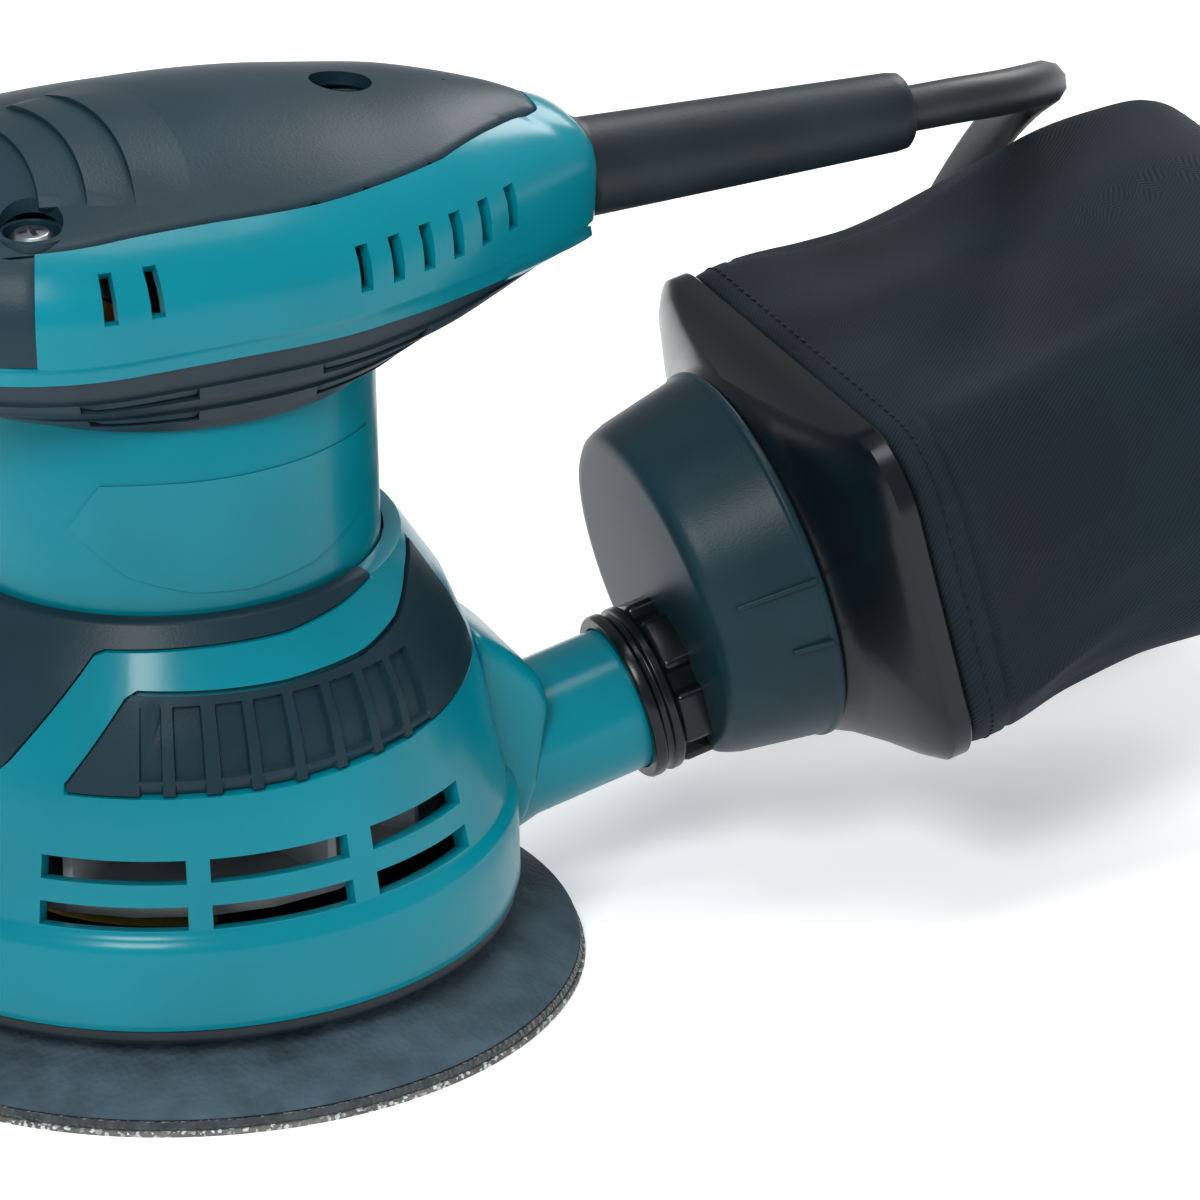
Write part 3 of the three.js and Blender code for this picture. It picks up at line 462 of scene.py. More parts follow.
def joined(*parts):
    """Several bmeshes as one."""
    whole = bmesh.new()
    for part in parts:
        mesh = bpy.data.meshes.new("part")
        part.to_mesh(mesh)
        part.free()
        whole.from_mesh(mesh)
        bpy.data.meshes.remove(mesh)
    return whole


def carve(made, *cutters):
    """Cuts solids out of a finished piece, and keeps the result as its plain mesh."""
    tools = []
    for cutter in cutters:
        bmesh.ops.recalc_face_normals(cutter, faces=cutter.faces)
        mesh = bpy.data.meshes.new("cutter")
        cutter.to_mesh(mesh)
        cutter.free()
        tools.append(bpy.data.objects.new("cutter", mesh))
        scene.collection.objects.link(tools[-1])
        cut = made.modifiers.new("cut", "BOOLEAN")
        cut.object = tools[-1]
        cut.operation = "DIFFERENCE"
        cut.solver = "EXACT"
    bpy.context.view_layer.update()
    solid = made.evaluated_get(bpy.context.evaluated_depsgraph_get())
    mesh = bpy.data.meshes.new_from_object(solid)
    worn = mesh.attributes.get("custom_normal")
    if worn:
        mesh.attributes.remove(worn)
    mesh.set_sharp_from_angle(angle=math.radians(35))
    made.modifiers.clear()
    old, made.data = made.data, mesh
    bpy.data.meshes.remove(old)
    for tool in tools:
        used = tool.data
        bpy.data.objects.remove(tool)
        bpy.data.meshes.remove(used)


def on_base(azimuth, r, z):
    """A point at an azimuth in degrees, round the motor's axis."""
    turn = math.radians(azimuth)
    return (r * math.cos(turn), r * math.sin(turn), z)

# ------------------------------------------------------------------ abrasive disc and pad

PAD_AXIS = at(1.4, 0, 0)  # the pad sits off the motor's axis
DUST_HOLES = [math.radians(22.5 + 45 * i) for i in range(8)]


def dust_holes(radius, low, high):
    """Eight round cutters on the circle of dust holes."""
    outline = [(0, low), (radius, low), (radius, high), (0, high)]
    return joined(*[
        spun(outline, 24, at(1.4 + 32.5 * math.cos(turn), 32.5 * math.sin(turn), 0))
        for turn in DUST_HOLES
    ])


disc = piece(
    "sanding_disc_grit", spun([(0, 0.05), (62.3, 0), (62.5, 0.3), (62.4, 0.9), (0, 0.9)], 128, PAD_AXIS),
    "abrasive", "pad", ["sanding_disc"], soft=0,
)
carve(disc, dust_holes(5, -2, 3))
hooks = piece(
    "hook_pile", spun([(9, 1), (61.9, 0.95), (62.1, 1.5), (61.7, 2.25), (9, 2.3)], 128, PAD_AXIS),
    "hooks", "pad", ["hook_face"], soft=0,
)
carve(hooks, dust_holes(5, -2, 4))
foam = piece(
    "pad_foam_body",
    spun([
        (9, 2.4), (61.2, 2.4), (61.6, 2.6), (61.6, 2.95), (61.1, 3.4), (58, 4.6), (53, 6.8), (49.6, 8.6),
        (48.6, 9.3), (47.5, 9.6), (9, 9.6),
    ], 128, PAD_AXIS),
    "foam", "pad", ["pad_foam"], soft=0,
)
carve(foam, dust_holes(5, 0, 14))
piece(
    "brake_lip",
    spun([(49, 11), (51.4, 10.9), (52.7, 11.8), (53, 12.4), (52.9, 13.8), (49, 13.8)], 128),
    "rubber", instead=["brake_ring"],
)

# ------------------------------------------------------------------ base housing and its soft grips

BASE_OUTLINE = [
    (13.9, 53.3), (15.4, 53.8), (27.2, 53.8), (28.4, 53.3), (29.6, 52.1), (49.4, 48.4), (58.3, 46),
    (66.8, 41.9), (74.3, 36.6),
]
PANEL_LOW = [(-131, 51), (-90, 50.8), (-60, 51.8), (-24, 54)]
PANEL_HIGH = [
    (-131, 52.4), (-119, 66.2), (-102, 65.8), (-86, 65.6), (-66, 66.2), (-52, 68), (-38, 71.5), (-24, 73.4),
]
STRIP_HIGH = [(-181, 51), (-145, 52.2), (-127, 71.2), (-104, 71.5), (-82, 71.6), (-65, 72.8), (-52, 74)]
VENT_COLUMNS = [(-135, -109), (-104.8, -79), (-74, -50)]
VENT_ROWS = [(30.3, 34), (37.5, 41.2)]
WINDOWS = [
    (-116.8, -112.7), (-110.2, -104.7), (-101.6, -96.2), (-93.8, -87.6), (-85.2, -79), (-76.6, -70.4),
    (-68, -62), (-59.8, -54),
]
SEAM = 0.2  # half of the gap between a grip and the shell
RECESS = 1.5
TOP_Z = 74.3


def base_radius(z):
    return between(BASE_OUTLINE, z)


def left_azimuth(azimuth):
    """The azimuth of the same place on the left-hand side, from -181 to 0."""
    return -abs((azimuth + 180) % 360 - 180)


def base_levels(azimuth):
    """Heights and depths of the shell's upper rows, which carry the recesses for the grips."""
    a = left_azimuth(azimuth)
    low = between(PANEL_LOW, a)
    high = max(between(PANEL_HIGH, a), low + 2 * SEAM)
    strip = min(max(between(STRIP_HIGH, a), high + 2 * SEAM), TOP_Z - 2 * SEAM)
    panel = RECESS if -131 < a < -24 else 0
    shoulder = RECESS if a < -52 else 0
    return [
        (low - SEAM, 0), (low + SEAM, panel), ((low + high) / 2, panel), (high - SEAM, panel),
        (high + SEAM, 0), (strip - SEAM, 0), (strip + SEAM, shoulder), ((strip + TOP_Z) / 2, shoulder),
        (TOP_Z, shoulder), (TOP_Z + 0.35, shoulder + 1.2 if a > -52 else 2.2), (TOP_Z + 0.4, 2.7),
    ]


PLAIN_ROWS = [
    13.9, 14.6, 15.4, 18, 21, 24, 27.2, 27.8, 28.4, 29, 29.6, 30.3, 32, 34, 35.8, 37.5, 39.4, 41.2, 44, 47,
]


def base_corner(azimuth, row):
    """A corner of the base shell: its plain rows, then the rows with recesses."""
    row = round(row)
    if row < len(PLAIN_ROWS):
        return on_base(azimuth, base_radius(PLAIN_ROWS[row]), PLAIN_ROWS[row])
    z, depth = base_levels(azimuth)[row - len(PLAIN_ROWS)]
    return on_base(azimuth, base_radius(z) - depth, z)


def both_sides(azimuths):
    """The azimuths of one side and their mirror images, in order."""
    return sorted({round(side * a, 3) for a in azimuths for side in (1, -1)})


def vent_free(azimuth, row):
    """False in the middle of a cooling slot."""
    a = left_azimuth(azimuth)
    j = int(row)
    if j + 1 >= len(PLAIN_ROWS) or not any(low < a < high for low, high in VENT_COLUMNS):
        return True
    z = (PLAIN_ROWS[j] + PLAIN_ROWS[j + 1]) / 2
    return not any(low < z < high for low, high in VENT_ROWS)


edges = [a for pair in VENT_COLUMNS for a in pair]
edges += [-131 - SEAM, -131 + SEAM, -24 - SEAM, -24 + SEAM, -52 - SEAM, -52 + SEAM]
plain = [a for a in spaced(-180, 0, 2.5) if min(abs(a - e) for e in edges) > 0.7]
rows = list(range(len(PLAIN_ROWS) + 11))
base_wall = skin(both_sides(plain + edges), rows, base_corner, vent_free)
piece("base_shell", base_wall, "shell", instead=["base_housing"], wall=2.6, sheet=True)

BOSS_OUTLINE = [(46, 19), (54.2, 17.5), (56.8, 24), (59.3, 38), (57.8, 43), (53, 48), (46, 53)]
boss_place = at(0, 13, 0) @ rotation(90, "X")
piece("spout_boss", slab(BOSS_OUTLINE, 26, boss_place, soft=3), "shell", soft=0)
spout = [(9.6, 52), (13.6, 52), (12.6, 57.5), (11.9, 61), (11.8, 92.4), (11.2, 93), (9.6, 93)]
piece(
    "dust_spout_tube", spun(spout, 72, SPOUT_TILT @ at(0, 0, 12.9) @ ALONG_X), "shell",
    instead=["dust_spout"],
)


def grip_corner(proud):
    """Places a grip's corner: v runs from 0 at its lower edge to 1 at its upper edge."""

    def place(azimuth, v):
        a = left_azimuth(azimuth)
        low = between(STRIP_HIGH, a) + 2 * SEAM
        z = low + (TOP_Z - low) * min(v, 1)
        if v > 1:  # the rounded lip against the neck
            turn = math.radians(90 * (v - 1))
            r = base_radius(TOP_Z) + proud - 2.4 * (1 - math.cos(turn))
            return on_base(azimuth, r, TOP_Z + 1.1 * math.sin(turn))
        return on_base(azimuth, base_radius(z) + proud, z)

    return place


shoulder_columns = spaced(52.6, 307.4, 2.5)
shoulder = skin(shoulder_columns, spaced(0, 1, 0.08) + [1.25, 1.5, 1.75, 2], grip_corner(0.25))
piece("shoulder_grip_skin", shoulder, "grip", instead=["shoulder_grip"], wall=1.6, soft=0.45, sheet=True)

WINDOW_Z = (53.6, 64)
PANEL_ROWS = [(0, 0.25), (53, 0), (WINDOW_Z[0] - 0.12, 0), (WINDOW_Z[0] + 0.2, 1)]
PANEL_ROWS += [(z, 1) for z in (55.5, 57, 58.5, 60, 61.5)]
PANEL_ROWS += [(WINDOW_Z[1] - 0.2, 1), (WINDOW_Z[1] + 0.12, 0), (90, 0)]


def panel_corner(azimuth, row):
    """A corner of a side panel, whose rows beyond a window's edge lie 1 mm deeper inside it."""
    a = left_azimuth(azimuth)
    low, high = between(PANEL_LOW, a) + 2 * SEAM, between(PANEL_HIGH, a) - 2 * SEAM
    z, deep = PANEL_ROWS[round(row)]
    if a < WINDOWS[0][1] + 0.5:
        slant = WINDOW_Z[0] + (a - WINDOWS[0][0]) * 2.2  # the first window is a triangle
        z = min(z, max(slant, WINDOW_Z[0] + 0.2)) if deep else z
    z = min(max(z, low), max(high, low + 0.3))
    glazed = any(first + 0.05 < a < last - 0.05 for first, last in WINDOWS)
    depth = 1.1 if deep and glazed else 0
    return on_base(azimuth, base_radius(z) + 0.25 - depth, z)


edges = [a for first, last in WINDOWS for a in (first - 0.15, first + 0.15, last - 0.15, last + 0.15)]
plain = [a for a in spaced(-130.6, -24.4, 2) if min(abs(a - e) for e in edges) > 0.5]
for name, side in (("left", 1), ("right", -1)):
    panel = skin(sorted(side * a for a in plain + edges), rows_of(PANEL_ROWS), panel_corner)
    piece(
        f"side_panel_{name}_skin", panel, "grip", instead=[f"side_panel_{name}"], wall=1.6, soft=0.3,
        sheet=True,
    )

# ------------------------------------------------------------------ neck

piece(
    "neck_tube",
    spun([(30.9, 60), (33.5, 60), (33.5, 105.2), (33.2, 105.8), (30.9, 105.8)], 128), "shell",
    instead=["neck_housing"],
)
BADGE_LOW = [(-136, 88.4), (-120, 81.2), (-104, 78.6), (-88, 78), (-68, 79.5), (-46, 84), (-32, 88.4)]
BADGE_HIGH = [(-136, 89.2), (-127, 96.4), (-110, 96.9), (-84, 97), (-58, 96.9), (-41, 96.4), (-32, 89.2)]


def badge_corner(azimuth, v):
    a = left_azimuth(azimuth)
    low, high = between(BADGE_LOW, a), between(BADGE_HIGH, a)
    return on_base(azimuth, 33.8, low + (high - low) * v)


for name, side in (("left", 1), ("right", -1)):
    shield = skin(sorted(side * a for a in spaced(-136, -32, 3)), spaced(0, 1, 0.1), badge_corner)
    piece(f"neck_shield_{name}", shield, "shell", wall=0.6, soft=0.22, sheet=True)

# ------------------------------------------------------------------ head

HEAD_FRONT, HEAD_REAR, NOSE_R = -56.5, 71.5, 39.5
NOSE_X = HEAD_FRONT + NOSE_R
COVER_FRONT_X = -32.6  # the cover wraps down over the front ahead of here
TAIL = [
    (NOSE_X, NOSE_R), (0, 39.4), (15, 38.4), (26, 35.6), (42, 28.4), (56, 19.4), (64, 13.8), (68.5, 10.4),
    (70.8, 8), (HEAD_REAR, 6),
]
CROWN = [
    (-56.5, 131), (-55, 134), (-52, 137.2), (-48, 140), (-40, 143.2), (-30, 145.4), (-13, 147), (3, 147),
    (18, 146), (31, 144.4), (45, 142.4), (57, 139.2), (64, 135.8), (68.5, 132.4), (70.8, 129),
    (71.5, 127),
]
LOWER = [(-56.5, 117.6), (0, 117.8), (26, 117.4), (42, 116.6), (71.5, 113.8)]
FALL = [(-56.5, 1.5), (-50, 5), (-40, 7), (-12, 9), (15, 8.6), (42, 5.4), (60, 3.4), (71.5, 2)]
EDGE_IN = [
    (-56.5, 3.6), (-33, 6), (-17, 7.4), (0, 7.8), (26, 7), (42, 6.4), (56, 7.6), (64, 8.5), (71.5, 9.1),
]
COVER_GAP = 0.25


def half_width(x):
    """Half the head's width: a round nose, then the tail's table."""
    if x < NOSE_X:
        return math.sqrt(max(NOSE_R**2 - (x - NOSE_X) ** 2, 0))
    return flowing(TAIL, x)


def crown_z(x, y):
    """Height of the crown, which falls away towards the cover's edge."""
    edge = max(half_width(x) - between(EDGE_IN, x), 9)
    return flowing(CROWN, x) - flowing(FALL, x) * min(abs(y) / edge, 1.15) ** 2


def head_stations():
    """Outline points of the left side from nose to tail, each with the spine point that it faces."""
    nose = [math.acos(min(max((x - NOSE_X) / NOSE_R, -1), 1)) for x in NOSE_EDGES]
    turns = sorted(set(nose + [math.radians(180 - a) for a in spaced(0, 88, 3)]), reverse=True)
    turns = [turn for turn in turns if turn in nose or all(abs(turn - n) > 0.015 for n in nose)]
    points = [(NOSE_X + NOSE_R * math.cos(t), -NOSE_R * math.sin(t), NOSE_X) for t in turns]
    plain = [x for x in spaced(NOSE_X, 66, 1.6) if all(abs(x - e) > 0.4 for e in TAIL_EDGES)]
    for x in sorted(plain + TAIL_EDGES) + [67, 68, 69, 69.8, 70.4, 70.9, 71.2, 71.4, 71.5]:
        points.append((x, -half_width(x), NOSE_X + 0.757 * (x - NOSE_X)))
    points += [(HEAD_REAR, y, 50) for y in (-4, -2, 0)]
    return points


HEAD_VENTS = [-21.5, -14, 20.5, 26.5, 32.5, 38.5, 44.5, 50.5]
VENT_HALF = 1.1
NOSE_EDGES = [COVER_FRONT_X, HEAD_VENTS[0] - VENT_HALF, HEAD_VENTS[0] + VENT_HALF]
TAIL_EDGES = [x + side * VENT_HALF for x in HEAD_VENTS[1:] for side in (-1, 1)]
LEFT = head_stations()
RING = LEFT + [(x, -y, spine) for x, y, spine in reversed(LEFT[1:-1])] + [LEFT[0]]
VENT_Z = [(-56, 127.5), (-10, 127.5), (17, 124.8), (71.5, 124.2)]


def inset_point(station, inset):
    """The point that lies inset from the outline, towards the spine."""
    x, y, spine = RING[round(station)]
    share = inset / math.hypot(x - spine, y)
    return x + (spine - x) * share, y * (1 - share)


def edge_point(station, more=0):
    """The cover's edge at a station, moved further in by more."""
    x, y = inset_point(station, between(EDGE_IN, RING[round(station)][0]) + more)
    return x, y, crown_z(x, y)


def side_corner(station, row):
    """A corner of the head's side wall, from its lower edge up to the cover's."""
    x = RING[round(station)][0]
    low, top = between(LOWER, x), edge_point(station)[2]
    vent = between(VENT_Z, x)
    z = [
        low, low + 0.5, low + 1.1, low + 2.6, low + 3.2, low + 3.8, vent - 2, vent, vent + 2.4,
        vent + 4.8, vent + 7.2, *[vent + 7.2 + (top - vent - 7.2) * share for share in SIDE_SHARES],
    ][round(row)]
    h = (z - low) / (top - low)
    ledge = 0.55 if z < low + 2.9 else 0
    if h < 0.42:
        inset = 1.6 * ((0.42 - h) / 0.42) ** 2 + ledge
    else:
        bend = between([(15, 2.2), (56, 3), (71.5, 3.6)], x)
        inset = between(EDGE_IN, x) * ((h - 0.42) / 0.58) ** bend
    return (*inset_point(station, inset), z)


SIDE_SHARES = [0.25, 0.45, 0.62, 0.76, 0.87, 0.94, 1]
SIDE_ROWS = list(range(11 + len(SIDE_SHARES)))
SKIRT_ROW = 5  # the first row of the cover's front skirt


def behind_cover(station):
    """True behind the cover's front skirt."""
    return min(RING[int(station)][0], RING[int(station) + 1][0]) >= COVER_FRONT_X - 0.01


def teal_cell(station, row):
    """True where the side wall is the shell's and no cooling slot cuts it."""
    x = (RING[int(station)][0] + RING[int(station) + 1][0]) / 2
    if not behind_cover(station):
        return row < SKIRT_ROW - 1
    slot = 7 < row < 10 and any(abs(x - vent) < VENT_HALF for vent in HEAD_VENTS)
    return not slot


def spine_of(point):
    """The nearest point of the line inside the head that its walls face."""
    return (min(max(point.x, NOSE_X), 48), 0, 124)


columns = rows_of(RING)
head_wall = skin(columns, SIDE_ROWS, side_corner, teal_cell, spine_of)
piece("head_side_wall", head_wall, "shell", instead=["head_shell"], wall=2.4, soft=0.5, sheet=True)


def chin_corner(x, side):
    """Underside of the tail: side runs from -1 to 1 across it."""
    half = half_width(x) - 1.7
    low = between(LOWER, x) + 0.3
    drop = between([(48, 6.2), (54, 5.8), (61.6, 3.2), (68, 0.7), (71.5, 0)], x)
    return (min(x, 70.2), side * half, low - drop * (1 - side**2) ** 0.8)


chin = skin(spaced(50, 71.4, 1.2), spaced(-1, 1, 0.08), chin_corner, inside=lambda point: (50, 0, 125))
piece("tail_underside", chin, "shell", wall=1.6, soft=0.3, sheet=True)


def cover_corner(station, v):
    """A corner of the cover: v runs from 0 at its edge to 1 on the spine."""
    x, y, _ = edge_point(station, COVER_GAP)
    spine = RING[round(station)][2]
    px, py = x + (spine - x) * v, y * (1 - v)
    return px, py, crown_z(px, py) - 0.35 * max(0, 1 - v / 0.02)


def far_below(point):
    """Faces of the crown point away from here."""
    return (0, 0, 60)


def skirt_cell(station, row):
    """True on the front skirt, where the cover wraps down over the head."""
    return not behind_cover(station) and row > SKIRT_ROW


crown = skin(columns, [0, 0.012, 0.03] + spaced(0.06, 1, 0.03), cover_corner, inside=far_below)
skirt = skin(columns, SIDE_ROWS, side_corner, skirt_cell, spine_of)
cover_skin = joined(crown, skirt)
bmesh.ops.remove_doubles(cover_skin, verts=cover_skin.verts, dist=0.0006)
cover = piece("soft_cover", cover_skin, "grip", instead=["top_cover"], wall=2.2, soft=0.5, sheet=True)

COVER_SCREWS = [(-28.6, -25, 142.3), (-28.6, 25, 142.3), (31.6, 0, 144.3)]
WELL_R, WELL_TURNS = 4.9, 40
wells = [
    spun([(0, z - 8), (WELL_R, z - 8), (WELL_R, z + 9), (0, z + 9)], WELL_TURNS, at(x, y, 0))
    for x, y, z in COVER_SCREWS
]
window = slab([(-62, -11.2), (-44, -11.2), (-44, 11.2), (-62, 11.2)], 12.4, at(0, 0, 122.3), soft=1.5)
carve(cover, joined(*wells), window)
for name, (x, y, z) in zip(("front_left", "front_right", "rear"), COVER_SCREWS):
    axis = at(x, y, 0)
    cup = spun([(4.4, z - 5.7), (5.6, z - 5.7), (5.6, z - 3.4), (4.4, z - 3.2)], WELL_TURNS, axis)
    floor = spun([(0, z - 7.2), (5.6, z - 7.2), (5.6, z - 5.7), (0, z - 5.7)], WELL_TURNS, axis)
    piece(f"screw_well_{name}", joined(cup, floor), "grip", soft=0.2)
    outline = [
        (0, z - 9), (1.8, z - 9), (1.8, z - 5.7), (3.5, z - 5.7), (3.5, z - 4.3), (2.7, z - 3.4),
        (0, z - 3.1),
    ]
    screw = piece(
        f"sunk_screw_{name}", spun(outline, WELL_TURNS, axis), "steel", instead=[f"cover_screw_{name}"],
        soft=0.15,
    )
    arm = [(-2, -0.45), (2, -0.45), (2, 0.45), (-2, 0.45)]
    across = [(arm_y, arm_x) for arm_x, arm_y in reversed(arm)]
    carve(screw, slab(arm, 3, at(x, y, z - 4.5)), slab(across, 3, at(x, y, z - 4.5)))

# Steps across the front of the crown, for the fingertips: each stands highest along its front arc
# and fades into the crown, or into the next step's front, behind it.
STEP_CENTRE = (-70, -10)
STEP_HIGH = 0.75
STEPS = [(60, 70, 7), (52.7, 59.8, 2), (45.4, 52.5, 2)]  # front and rear radius, and end fade in degrees
STEP_ENDS = (-16.5, 20)


def step_corner(front, rear, fade):
    def place(share, turn):
        r = front + (rear - front) * share
        x = STEP_CENTRE[0] + r * math.cos(math.radians(turn))
        y = STEP_CENTRE[1] + r * math.sin(math.radians(turn))
        ends = min(1, (turn - STEP_ENDS[0]) / fade, (STEP_ENDS[1] - turn) / fade)
        return x, y, crown_z(x, y) - 0.03 + STEP_HIGH * (1 - share) ** 1.3 * ends

    return place


for number, (front, rear, fade) in enumerate(STEPS, 1):
    place = step_corner(front, rear, fade)
    step = skin(spaced(0, 1, 0.06), spaced(*STEP_ENDS, 0.8), place, inside=far_below)
    piece(f"cover_step_{number}", step, "grip", wall=1, soft=0.1, sheet=True)

# ------------------------------------------------------------------ waist

FLARE = [
    (106, -0.02, 0), (106.9, 0.1, 0), (107.9, 0.26, 0), (108.1, 0.28, 0.9), (108.35, 0.3, 0.95),
    (109.1, 0.41, 0.8), (109.9, 0.52, 0.7), (110.2, 0.57, 0), (111, 0.67, 0), (111.8, 0.76, 0),
    (112, 0.78, 0.9), (112.25, 0.8, 0.95), (113.1, 0.86, 0.8), (114, 0.91, 0.7), (114.3, 0.92, 0),
    (116, 0.96, 0), (118.2, 1, 0),
]
WAIST_SLOTS = [(-126, -101), (-70, -42)]


def head_reach(azimuth):
    """Distance from the motor's axis to the head's outline in that direction."""
    near, far = 5.0, 80.0
    turn = math.radians(azimuth)
    for _ in range(30):
        r = (near + far) / 2
        x, y = r * math.cos(turn), abs(r * math.sin(turn))
        if HEAD_FRONT < x < HEAD_REAR and y < half_width(x):
            near = r
        else:
            far = r
    return near


def waist_corner(inset, ridged=True):
    def place(azimuth, row):
        z, share, ridge = FLARE[round(row)]
        r = 34.8 + (head_reach(azimuth) - 2.6 - 34.8) * share + (ridge if ridged else 0) - inset
        return on_base(azimuth, r, z)

    return place


def waist_cell(azimuth, row):
    slotted = any(low < left_azimuth(azimuth) < high for low, high in WAIST_SLOTS)
    return not (slotted and (4 < row < 6 or 11 < row < 13))


edges = [a for pair in WAIST_SLOTS for a in pair]
plain = [a for a in spaced(-180, 0, 3) if min(abs(a - e) for e in edges) > 0.8]
waist_columns = both_sides(plain + edges)
waist = skin(waist_columns, rows_of(FLARE), waist_corner(0), waist_cell)
# The waist band wears the copy of the elastomer with painted shade.
piece(
    "waist_band_skin", waist, "grip", instead=["waist_band"], wall=1.2, soft=0.15, sheet=True,
    look=waist_elastomer_painted_shade,
)
liner = skin(waist_columns, list(range(2, 15)), waist_corner(1.4, False))
piece("waist_slot_liner", liner, "shell", wall=0.8, soft=0, sheet=True)

# ------------------------------------------------------------------ switch

def upright(half, low, high, depth, soft):
    """A slab for the head's front, which reaches half to each side of the middle."""
    outline = [(-half, low), (half, low), (half, high), (-half, high)]
    return slab(outline, depth, Matrix.Identity(4), soft=soft)


bezel = upright(11.1, 122.4, 134.6, 6.6, 1.2)
ACROSS_FRONT = at(-57.4, 0, 0) @ Matrix(((0, 0, 1, 0), (1, 0, 0, 0), (0, 1, 0, 0), (0, 0, 0, 1)))
moved(bezel, ACROSS_FRONT)
frame_piece = piece("switch_frame", bezel, "black_plastic", instead=["switch_bezel"], soft=0)
opening = upright(9.8, 123.6, 133.4, 12, 0.6)
moved(opening, at(-3, 0, 0) @ ACROSS_FRONT)
carve(frame_piece, opening)
ROCKER = [
    (1.6, -9), (1.6, 9), (-4, 8.8), (-5.2, 6), (-4.9, 3), (-4.3, 0), (-4.9, -3), (-5.2, -6), (-4, -8.8),
]
rocker_place = at(-52, 0, 124.1) @ rotation(6, "Z")
rocker = slab(ROCKER, 8.8, rocker_place, soft=0.7)
piece("rocker_key", rocker, "rubber", "rocker", ["switch_rocker"], soft=0)

# ------------------------------------------------------------------ cord guard and plug

GUARD = [
    (0, 61.5), (8.9, 61.5), (8.9, 70), (8.1, 71), (7.9, 72), (7.2, 96), (6.5, 119), (6.35, 124.6),
    (6.1, 126.3), (5.4, 127), (4.2, 127), (3.9, 126), (0, 126),
]
sleeve = spun(GUARD, 64, at(0, 0, 122.9) @ ALONG_X)
piece("cord_guard_sleeve", sleeve, "rubber", instead=["cord_guard"], soft=0.25)
PLUG_PLACE = at(246.7, 86.2, 10.2) @ rotation(-90, "Z")
PLUG = [
    (0, 4.4, 4.4), (3, 4.9, 4.9), (12, 5.2, 5), (16, 6.6, 5.6), (20, 9.8, 6.9), (24, 13.4, 8.4),
    (28, 15.8, 9.4), (34, 17.4, 10), (40, 17.6, 10), (44.6, 17.4, 9.9), (46, 16.4, 9),
]


def plug_corner(turn, station):
    x, wide, high = PLUG[round(station)]
    if station < 0.5 or station > len(PLUG) - 1.5:
        wide, high = wide - 0.3, high - 0.3
    angle = math.radians(turn)
    c, s = math.cos(angle), math.sin(angle)
    return x, wide * math.copysign(abs(c) ** 0.8, c), high * math.copysign(abs(s) ** 0.8, s)


plug = skin(
    spaced(0, 360, 7.5), rows_of(PLUG), plug_corner, inside=lambda point: (point.x, 0, 0)
)
bmesh.ops.holes_fill(plug, edges=[edge for edge in plug.edges if edge.is_boundary])
moved(plug, PLUG_PLACE)
piece("plug_moulding", plug, "cord_rubber", instead=["plug_body"], soft=0.8)
for name, y in (("a", 9.5), ("b", -9.5)):
    outline = [(0, 44), (2.4, 44), (2.4, 63.6), (2, 64.7), (1, 65.3), (0, 65.3)]
    pin = spun(outline, 32, PLUG_PLACE @ at(0, y, 0) @ ALONG_X)
    piece(f"plug_pin_{name}_round", pin, "plated_pin", instead=[f"plug_pin_{name}"], soft=0)

# ------------------------------------------------------------------ dust nozzle

PIPE_W, CAP_W = 12.9, 27.7  # heights of the pipe's and the cap's axes above the tilted s axis
PIPE_PLACE = SPOUT_TILT @ at(0, 0, PIPE_W)
CAP_PLACE = SPOUT_TILT @ at(0, 0, CAP_W)

collar = spun([
    (12, 80.7), (13.6, 80.7), (13.9, 81.2), (13.9, 82.6), (13.3, 83), (13.3, 83.9), (13.9, 84.3),
    (13.9, 85.6), (13.4, 86.2), (11.9, 86.3), (11.9, 93.4), (9.8, 93.4), (9.8, 92), (12, 92),
], 72, PIPE_PLACE @ ALONG_X)
ON_EDGE = rotation(90, "X")  # turns a slab's outline upright, into the X-Z plane
# The pipe between the collar and the cap is a ring of rounded lands with deep gaps between them.
flutes = []
for turned in range(0, 360, 60):
    outline = [(86, 9.9), (94, 9.9), (94, 13.3), (86, 13.3)]
    land = slab(outline, 9.4, at(0, 4.7, 0) @ ON_EDGE, soft=1.1, segments=5)
    place = PIPE_PLACE @ rotation(turned + 35, "X")
    moved(land, place)
    flutes.append(land)
drum = spun([
    (0, 90.7), (24.8, 90.7), (26.4, 90.9), (27.4, 91.7), (27.9, 92.8), (28.5, 94.6), (30.8, 107.6),
    (31.3, 108), (31.3, 109), (31, 109.3), (28.4, 109.3), (26.8, 94), (0, 93.4),
], 128, CAP_PLACE @ ALONG_X)
nozzle = piece("nozzle_moulding", drum, "cap_plastic", "dust_nozzle", ["nozzle"], soft=0.25)
bore = spun([(0, 88), (9.7, 88), (9.7, 100), (0, 100)], 40, PIPE_PLACE @ ALONG_X)
carve(nozzle, bore)
piece("nozzle_collar", collar, "black_plastic", "dust_nozzle", soft=0.2)
piece("nozzle_flutes", joined(*flutes), "black_plastic", "dust_nozzle", soft=0)
# Fine raised parting lines along the cap's side: one across its width, one short.
lines = []
for side in (1, -1):
    for lift, first, last, r in ((15, 95, 108.2, 28.4), (-5, 101.6, 108.2, 29.8)):
        outline = [(first, 0), (last, 0), (last, 2.9 * (last - first) / 13 + 0.6), (first, 0.5)]
        strip = slab(outline, 0.8, at(0, 0.4, 0) @ ON_EDGE, soft=0.2)
        turn = rotation(side * (90 - lift), "X")
        moved(strip, CAP_PLACE @ turn @ at(0, 0, r))
        lines.append(strip)
piece("cap_parting_lines", joined(*lines), "cap_plastic", "dust_nozzle", soft=0)

# ------------------------------------------------------------------ bag frame

FRAME_MIDDLE_W = 30


